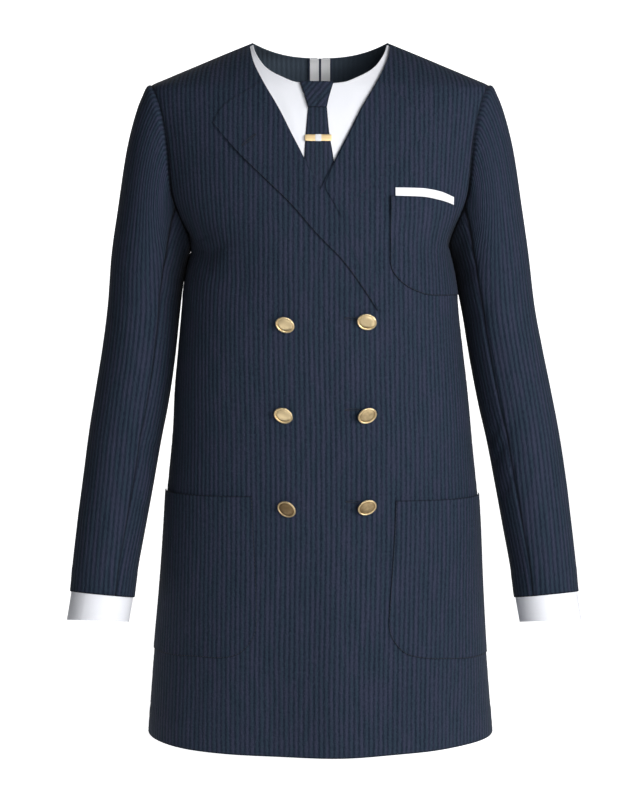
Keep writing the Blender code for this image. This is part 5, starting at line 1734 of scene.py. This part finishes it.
@dataclass
class Buttons:
    """Six gilt shank buttons with a plain dome in a rope rim, and the buttonholes beside three."""

    form: GarmentForm
    # Name, x, z, droop below level and lean to the right in degrees, and how much painted shade darkens the
    # dome in place of its engraving's shadows
    places: tuple[tuple[str, float, float, float, float, float], ...] = (
        ("button_top_left", -36.7, -312.2, 36, -18, 0.0),
        ("button_top_right", 53.2, -309.1, 36, -25, 0.0),
        ("button_middle_left", -38.5, -413.9, 36, -21, 0.05),
        ("button_middle_right", 50.6, -414.1, 36, 18, 0.65),
        ("button_low_left", -34.2, -519.7, 36, -32, 1.0),
        ("button_low_right", 50.5, -517.4, 36, 19, 0.8),
    )
    # Radius and height of the dome, from its edge to its middle, and of the back from its shank out
    dome: Table = (
        (9.4, 8.85), (9.0, 9.0), (8.5, 9.05), (8.2, 9.25), (6.7, 9.85), (4.8, 10.25), (2.5, 10.45),
        (0.05, 10.5),
    )
    back: Table = (
        (0.05, 0.4), (1.5, 0.6), (1.9, 1.6), (1.8, 3.0), (1.9, 6.5), (3.2, 7.2), (6.8, 7.4), (9.5, 7.65),
        (10.0, 8.2),
    )
    rim_radius: float = 9.95
    rim_height: float = 8.55
    rope: float = 1.05
    twists: int = 44
    foot_out: float = 0.55
    # Buttonholes, the lapel's last: middle x and z, half length's x and z, half width's x and z, height
    holes: Table = (
        (34.0, -310.0, 6.5, 0.0, 0.0, 1.1, 0.55), (36.4, -412.5, 8.5, 0.0, 0.0, 1.1, 0.55),
        (37.0, -516.0, 8.0, 0.0, 0.0, 1.1, 0.55), (-79.0, -112.0, 8.0, 6.4, -0.75, 0.95, 1.75),
    )

    def lathe(self, profile: Table, around: int) -> tuple[Array, Array]:
        """Points and quads of a profile of radius and height turned about the axis."""
        turn = full_turn(around)
        radius, height = np.asarray(profile, float).T
        x = radius[:, None] * np.cos(turn)
        y = radius[:, None] * np.sin(turn)
        z = np.broadcast_to(height[:, None], x.shape)
        return np.stack([x, y, z], -1).reshape(-1, 3), tube_faces(len(profile), around)

    def rope_rim(self) -> tuple[Array, Array, Array]:
        """A ring of rope: a torus whose tube swells and shrinks along slanting strands.

        The tube's radius is rope (1 + 0.16 cos(twists turn - 2 section)), so that its ridges wind
        round it.

        Returns:
            Points, quads and how hollow each point is.
        """
        around = self.twists * 5
        sides = 10
        turn = full_turn(around)[:, None]
        section = full_turn(sides)[None]
        strand = np.cos(self.twists * turn - 2 * section)
        tube = self.rope * (1 + 0.16 * strand)
        reach = self.rim_radius + tube * np.cos(section)
        height = self.rim_height + tube * np.sin(section)
        points = np.stack([reach * np.cos(turn), reach * np.sin(turn), height], -1)
        r, c = np.meshgrid(np.arange(around), np.arange(sides), indexing="ij")
        n = (r + 1) % around * sides
        d = (c + 1) % sides
        faces = np.stack([r * sides + c, n + c, n + d, r * sides + d], -1).reshape(-1, 4)
        return points.reshape(-1, 3), faces, (0.5 - 0.5 * strand).reshape(-1)

    def build(self) -> None:
        """Makes the buttons and the buttonholes."""
        dome, dome_faces = self.lathe(self.dome, 64)
        back, back_faces = self.lathe(self.back, 32)
        rim, rim_faces, strand = self.rope_rim()
        points = np.concatenate([dome, back, rim])
        faces = np.concatenate([dome_faces, back_faces + len(dome), rim_faces + len(dome) + len(back)])
        reach = np.hypot(dome[:, 0], dome[:, 1])
        for name, x, z, droop, lean, painted_dome_shade in self.places:
            # Painted shade on the dome and in the crease by the rim, over a little tarnish in the crease and
            # the rope's hollows; the back, which faces the cloth, is kept half dark
            crease = (0.12 + 0.78 * painted_dome_shade) * bell(reach - 9.1, 0.5)
            tarnish_and_painted_shade = crease + 0.85 * painted_dome_shade * (reach < 8.6)
            tarnish_and_painted_shading = np.concatenate([tarnish_and_painted_shade, np.full(len(back), 0.5), strand * (0.3 + 0.5 * painted_dome_shade)])
            foot = self.form.front_place(np.array(x), np.array(z), self.foot_out)
            out = self.form.normal(self.form.q_at(x, z), np.array(z), Side.FRONT)
            downwards = Vector((math.sin(math.radians(lean)), 0.0, -math.cos(math.radians(lean))))
            axis = (Vector(out) + downwards * math.tan(math.radians(droop))).normalized()
            turned = np.array(axis.to_track_quat("Z", "Y").to_matrix())
            placed = points @ turned.T + foot
            obj = Surface("gilt_" + name, placed, faces, GILT, tarnish_and_painted_shading=tarnish_and_painted_shading).build()
            settle(obj, [name])
        self.buttonholes()

    def buttonholes(self) -> None:
        """Worked buttonholes: a long loop of purl stitches, and the slanting one on the lapel."""
        rows = []
        turn = np.linspace(0, 2 * math.pi, 90)
        for x, z, long_x, long_z, short_x, short_z, height in self.holes:
            loop_x = x + long_x * np.cos(turn) + short_x * np.sin(turn)
            loop_z = z + long_z * np.cos(turn) + short_z * np.sin(turn)
            rows.append((np.stack([loop_x, loop_z], -1), height))
        purl = Stitching(length=1.5, gap=0.05, thickness=0.9)
        purl.on_front("buttonhole_stitching", self.form, rows)


@dataclass
class BackFastening:
    """The zip's tape, coil, slider and pull tab, and the woven tape inside the back neck."""

    form: GarmentForm
    tape_half: float = 12.0
    tape_z: tuple[float, float] = (-520.0, -18.0)
    neck_half: float = 14.0
    neck_z: tuple[float, float] = (-95.0, -10.8)
    tape_layer: tuple[float, float] = (-2.5, -1.7)
    neck_layer: tuple[float, float] = (-3.9, -2.9)
    coil_pitch: float = 1.5
    coil_radius: float = 0.3
    coil_height: float = -3.1

    def tape(
        self, name: str, half: float, span: tuple[float, float], layer: tuple[float, float], finish: Finish
    ) -> None:
        """A straight tape down the inside of the centre back."""
        x = np.linspace(-half, half, 17)
        z = span[0] + (span[1] - span[0]) * steps(abs(span[1] - span[0]), 3.0, (0.3, 0.8, 1.6))
        grid = np.stack(np.broadcast_arrays(x[None, :] + self.form.ring(z)[4][:, None], z[:, None]), -1)
        placed = self.form.on_q(grid)
        Patch(self.form, name + "_cloth", placed, *layer, finish, side=Side.BACK).build([name], "hung")

    def coil(self) -> None:
        """The zip's coil: two rows of small loops that mesh, carried down the tape's inner face."""
        z = np.arange(self.tape_z[0] + 6.0, self.neck_z[0] - 6.0, self.coil_pitch)
        turn = full_turn(8)
        along_loop = np.linspace(-1, 1, 7)
        points = []
        for sign in (-1, 1):
            x = sign * (0.35 + 1.1 * (1 + along_loop) / 2 * 1.6) - sign * 0.5
            centre_z = (z + (0.0 if sign < 0 else self.coil_pitch / 2))[:, None, None]
            drop = (self.coil_height - 0.25 * (1 - along_loop**2))[None, :, None]
            up = centre_z + self.coil_radius * np.sin(turn)
            out = drop + self.coil_radius * np.cos(turn)
            wide, up, out = np.broadcast_arrays(x[None, :, None] + self.form.ring(centre_z)[4], up, out)
            points.append(self.form.place(self.form.q_at(wide, up), up, Side.BACK, out).reshape(-1, 3))
        one = tube_faces(len(along_loop), len(turn))
        cells = one[None] + (np.arange(2 * len(z)) * len(along_loop) * len(turn))[:, None, None]
        obj = Surface("zip_coil", np.concatenate(points), cells.reshape(-1, 4), NAVY_ENAMEL).build()
        settle(obj)

    def build(self) -> None:
        """Makes both tapes and the coil, and finishes the slider and the pull tab."""
        self.tape("zip_tape", self.tape_half, self.tape_z, self.tape_layer, ZIP_TAPE)
        self.tape("neck_tape", self.neck_half, self.neck_z, self.neck_layer, NECK_TAPE)
        self.coil()
        for name in ("zip_slider", "zip_pull"):
            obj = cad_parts[name]
            for place in obj.material_slots:
                place.material = NAVY_ENAMEL.made()


@dataclass
class Hem:
    """The row of sewing along the front's hem."""

    form: GarmentForm
    half_width: float = 196.0
    depth: float = 32.0

    def build(self) -> None:
        """Makes the stitches."""
        x = np.linspace(-self.half_width, self.half_width, 60)
        hem = np.stack([x, np.full_like(x, self.form.hem_z + self.depth)], -1)
        Stitching(length=0.9, gap=5.5, thickness=0.3).on_front("hem_stitching", self.form, [(hem, 0.4)])


@dataclass
class Studio:
    """The pale floor and backdrop, soft lights and the photograph's camera."""

    floor_z: float = -0.90
    wall_y: float = 5.5
    floor_half: float = 7.0
    floor_white: Colour = (0.86, 0.86, 0.86)
    sky: Colour = (0.92, 0.95, 1.0)
    sky_strength: float = 0.08
    camera_place: tuple[float, float, float] = (0.0, -2.5, -0.158)
    camera_tilt: float = 5.8417
    focal_pixels: float = 2137.0
    frame_pixels: float = 800.0
    sensor: float = 36.0
    # Name, place, aim, size in metres, watts
    lights: tuple[tuple[str, tuple, tuple, float, float], ...] = (
        ("key", (1.9, -2.1, 0.45), (0.0, 0.0, -0.38), 1.1, 62.0),
        ("front", (0.85, -3.1, -0.05), (0.0, 0.0, -0.35), 1.3, 50.0),
        ("back_high", (-1.2, 2.9, 1.3), (0.0, 0.0, -0.3), 1.6, 24.0),
    )

    def backdrop(self) -> None:
        """A floor that curves up into a wall: a profile of y, z carried along x."""
        bend = np.array([[-0.3, 0.0], [-0.09, 0.08], [0.0, 0.28], [0.0, 0.6]])
        flat = np.linspace(-self.floor_half, self.wall_y - 0.6, 24)
        y = np.concatenate([flat, self.wall_y + bend[:, 0], [self.wall_y] * 6])
        z = np.concatenate([np.zeros(24), bend[:, 1], np.linspace(0.9, 6.0, 6)]) + self.floor_z
        x = np.linspace(-self.floor_half, self.floor_half, 12)
        points = np.stack(np.broadcast_arrays(x[None, :], y[:, None], z[:, None]), -1).reshape(-1, 3) / METRES
        finish = Backdrop("studio_paper", "", self.floor_white)
        obj = Surface("studio_floor", points, grid_faces(len(y), len(x)), finish).build()

    def light(self, name: str, place: tuple, aim: tuple, size: float, watts: float) -> None:
        """One square soft light."""
        data = bpy.data.lights.new(name, "AREA")
        data.energy = watts
        data.size = size
        obj = link(name, data)
        obj.location = place
        obj.rotation_euler = (Vector(aim) - Vector(place)).to_track_quat("-Z", "Y").to_euler()

    def build(self) -> None:
        """Makes the backdrop, lights, world and camera."""
        self.backdrop()
        for row in self.lights:
            self.light(*row)
        world = bpy.data.worlds.new("studio")
        world.use_nodes = True
        shade = world.node_tree.nodes["Background"]
        shade.inputs["Color"].default_value = (*self.sky, 1.0)
        shade.inputs["Strength"].default_value = self.sky_strength
        bpy.context.scene.world = world
        bpy.context.scene.view_settings.view_transform = "Standard"
        data = bpy.data.cameras.new("photo_camera")
        data.sensor_width = self.sensor
        data.lens = self.focal_pixels / self.frame_pixels * self.sensor
        camera = link("photo_camera", data)
        camera.location = self.camera_place
        camera.rotation_euler = (math.radians(90.0 - self.camera_tilt), 0.0, 0.0)
        bpy.context.scene.camera = camera


@dataclass(frozen=True)
class Backdrop(Finish):
    """Matt paper."""

    white: Colour = (0.9, 0.9, 0.9)

    def dress(self, nodes: Nodes, shader: bpy.types.ShaderNode) -> None:
        """Paper with a barely visible tooth that glows from the dress backwards, to stay white."""
        place = nodes.place()
        tooth = nodes.noise(place, 90.0, 2.0)
        aside, depth = nodes.axes(place)
        aside = aside.size() - depth * 0.16
        glow = nodes.ranged(depth, -0.4, 0.0) * nodes.ranged(aside, 0.50, 0.62, 1.0, 0.0)
        nodes.feed(shader.inputs["Base Color"], nodes.mix(tooth * 0.2, self.white, (0.82, 0.82, 0.82)))
        nodes.feed(shader.inputs["Emission Color"], nodes.mix(glow, (0.0, 0.0, 0.0), (1.0, 1.0, 1.0)))
        shader.inputs["Roughness"].default_value = 0.95
        shader.inputs["Specular IOR Level"].default_value = 0.1
        shader.inputs["Emission Strength"].default_value = 0.85


def main() -> None:
    """Builds the dress in order, then the studio."""
    logging.basicConfig(level=logging.INFO, format="%(message)s")
    form = GarmentForm()
    BodyPanels(form).build()
    ShirtFront(form).build()
    Lapels(form).build()
    Pockets(form).build()
    Sleeves(SleeveForm(form)).build()
    Buttons(form).build()
    BackFastening(form).build()
    Hem(form).build()
    Studio().build()


if __name__ == "__main__":
    main()
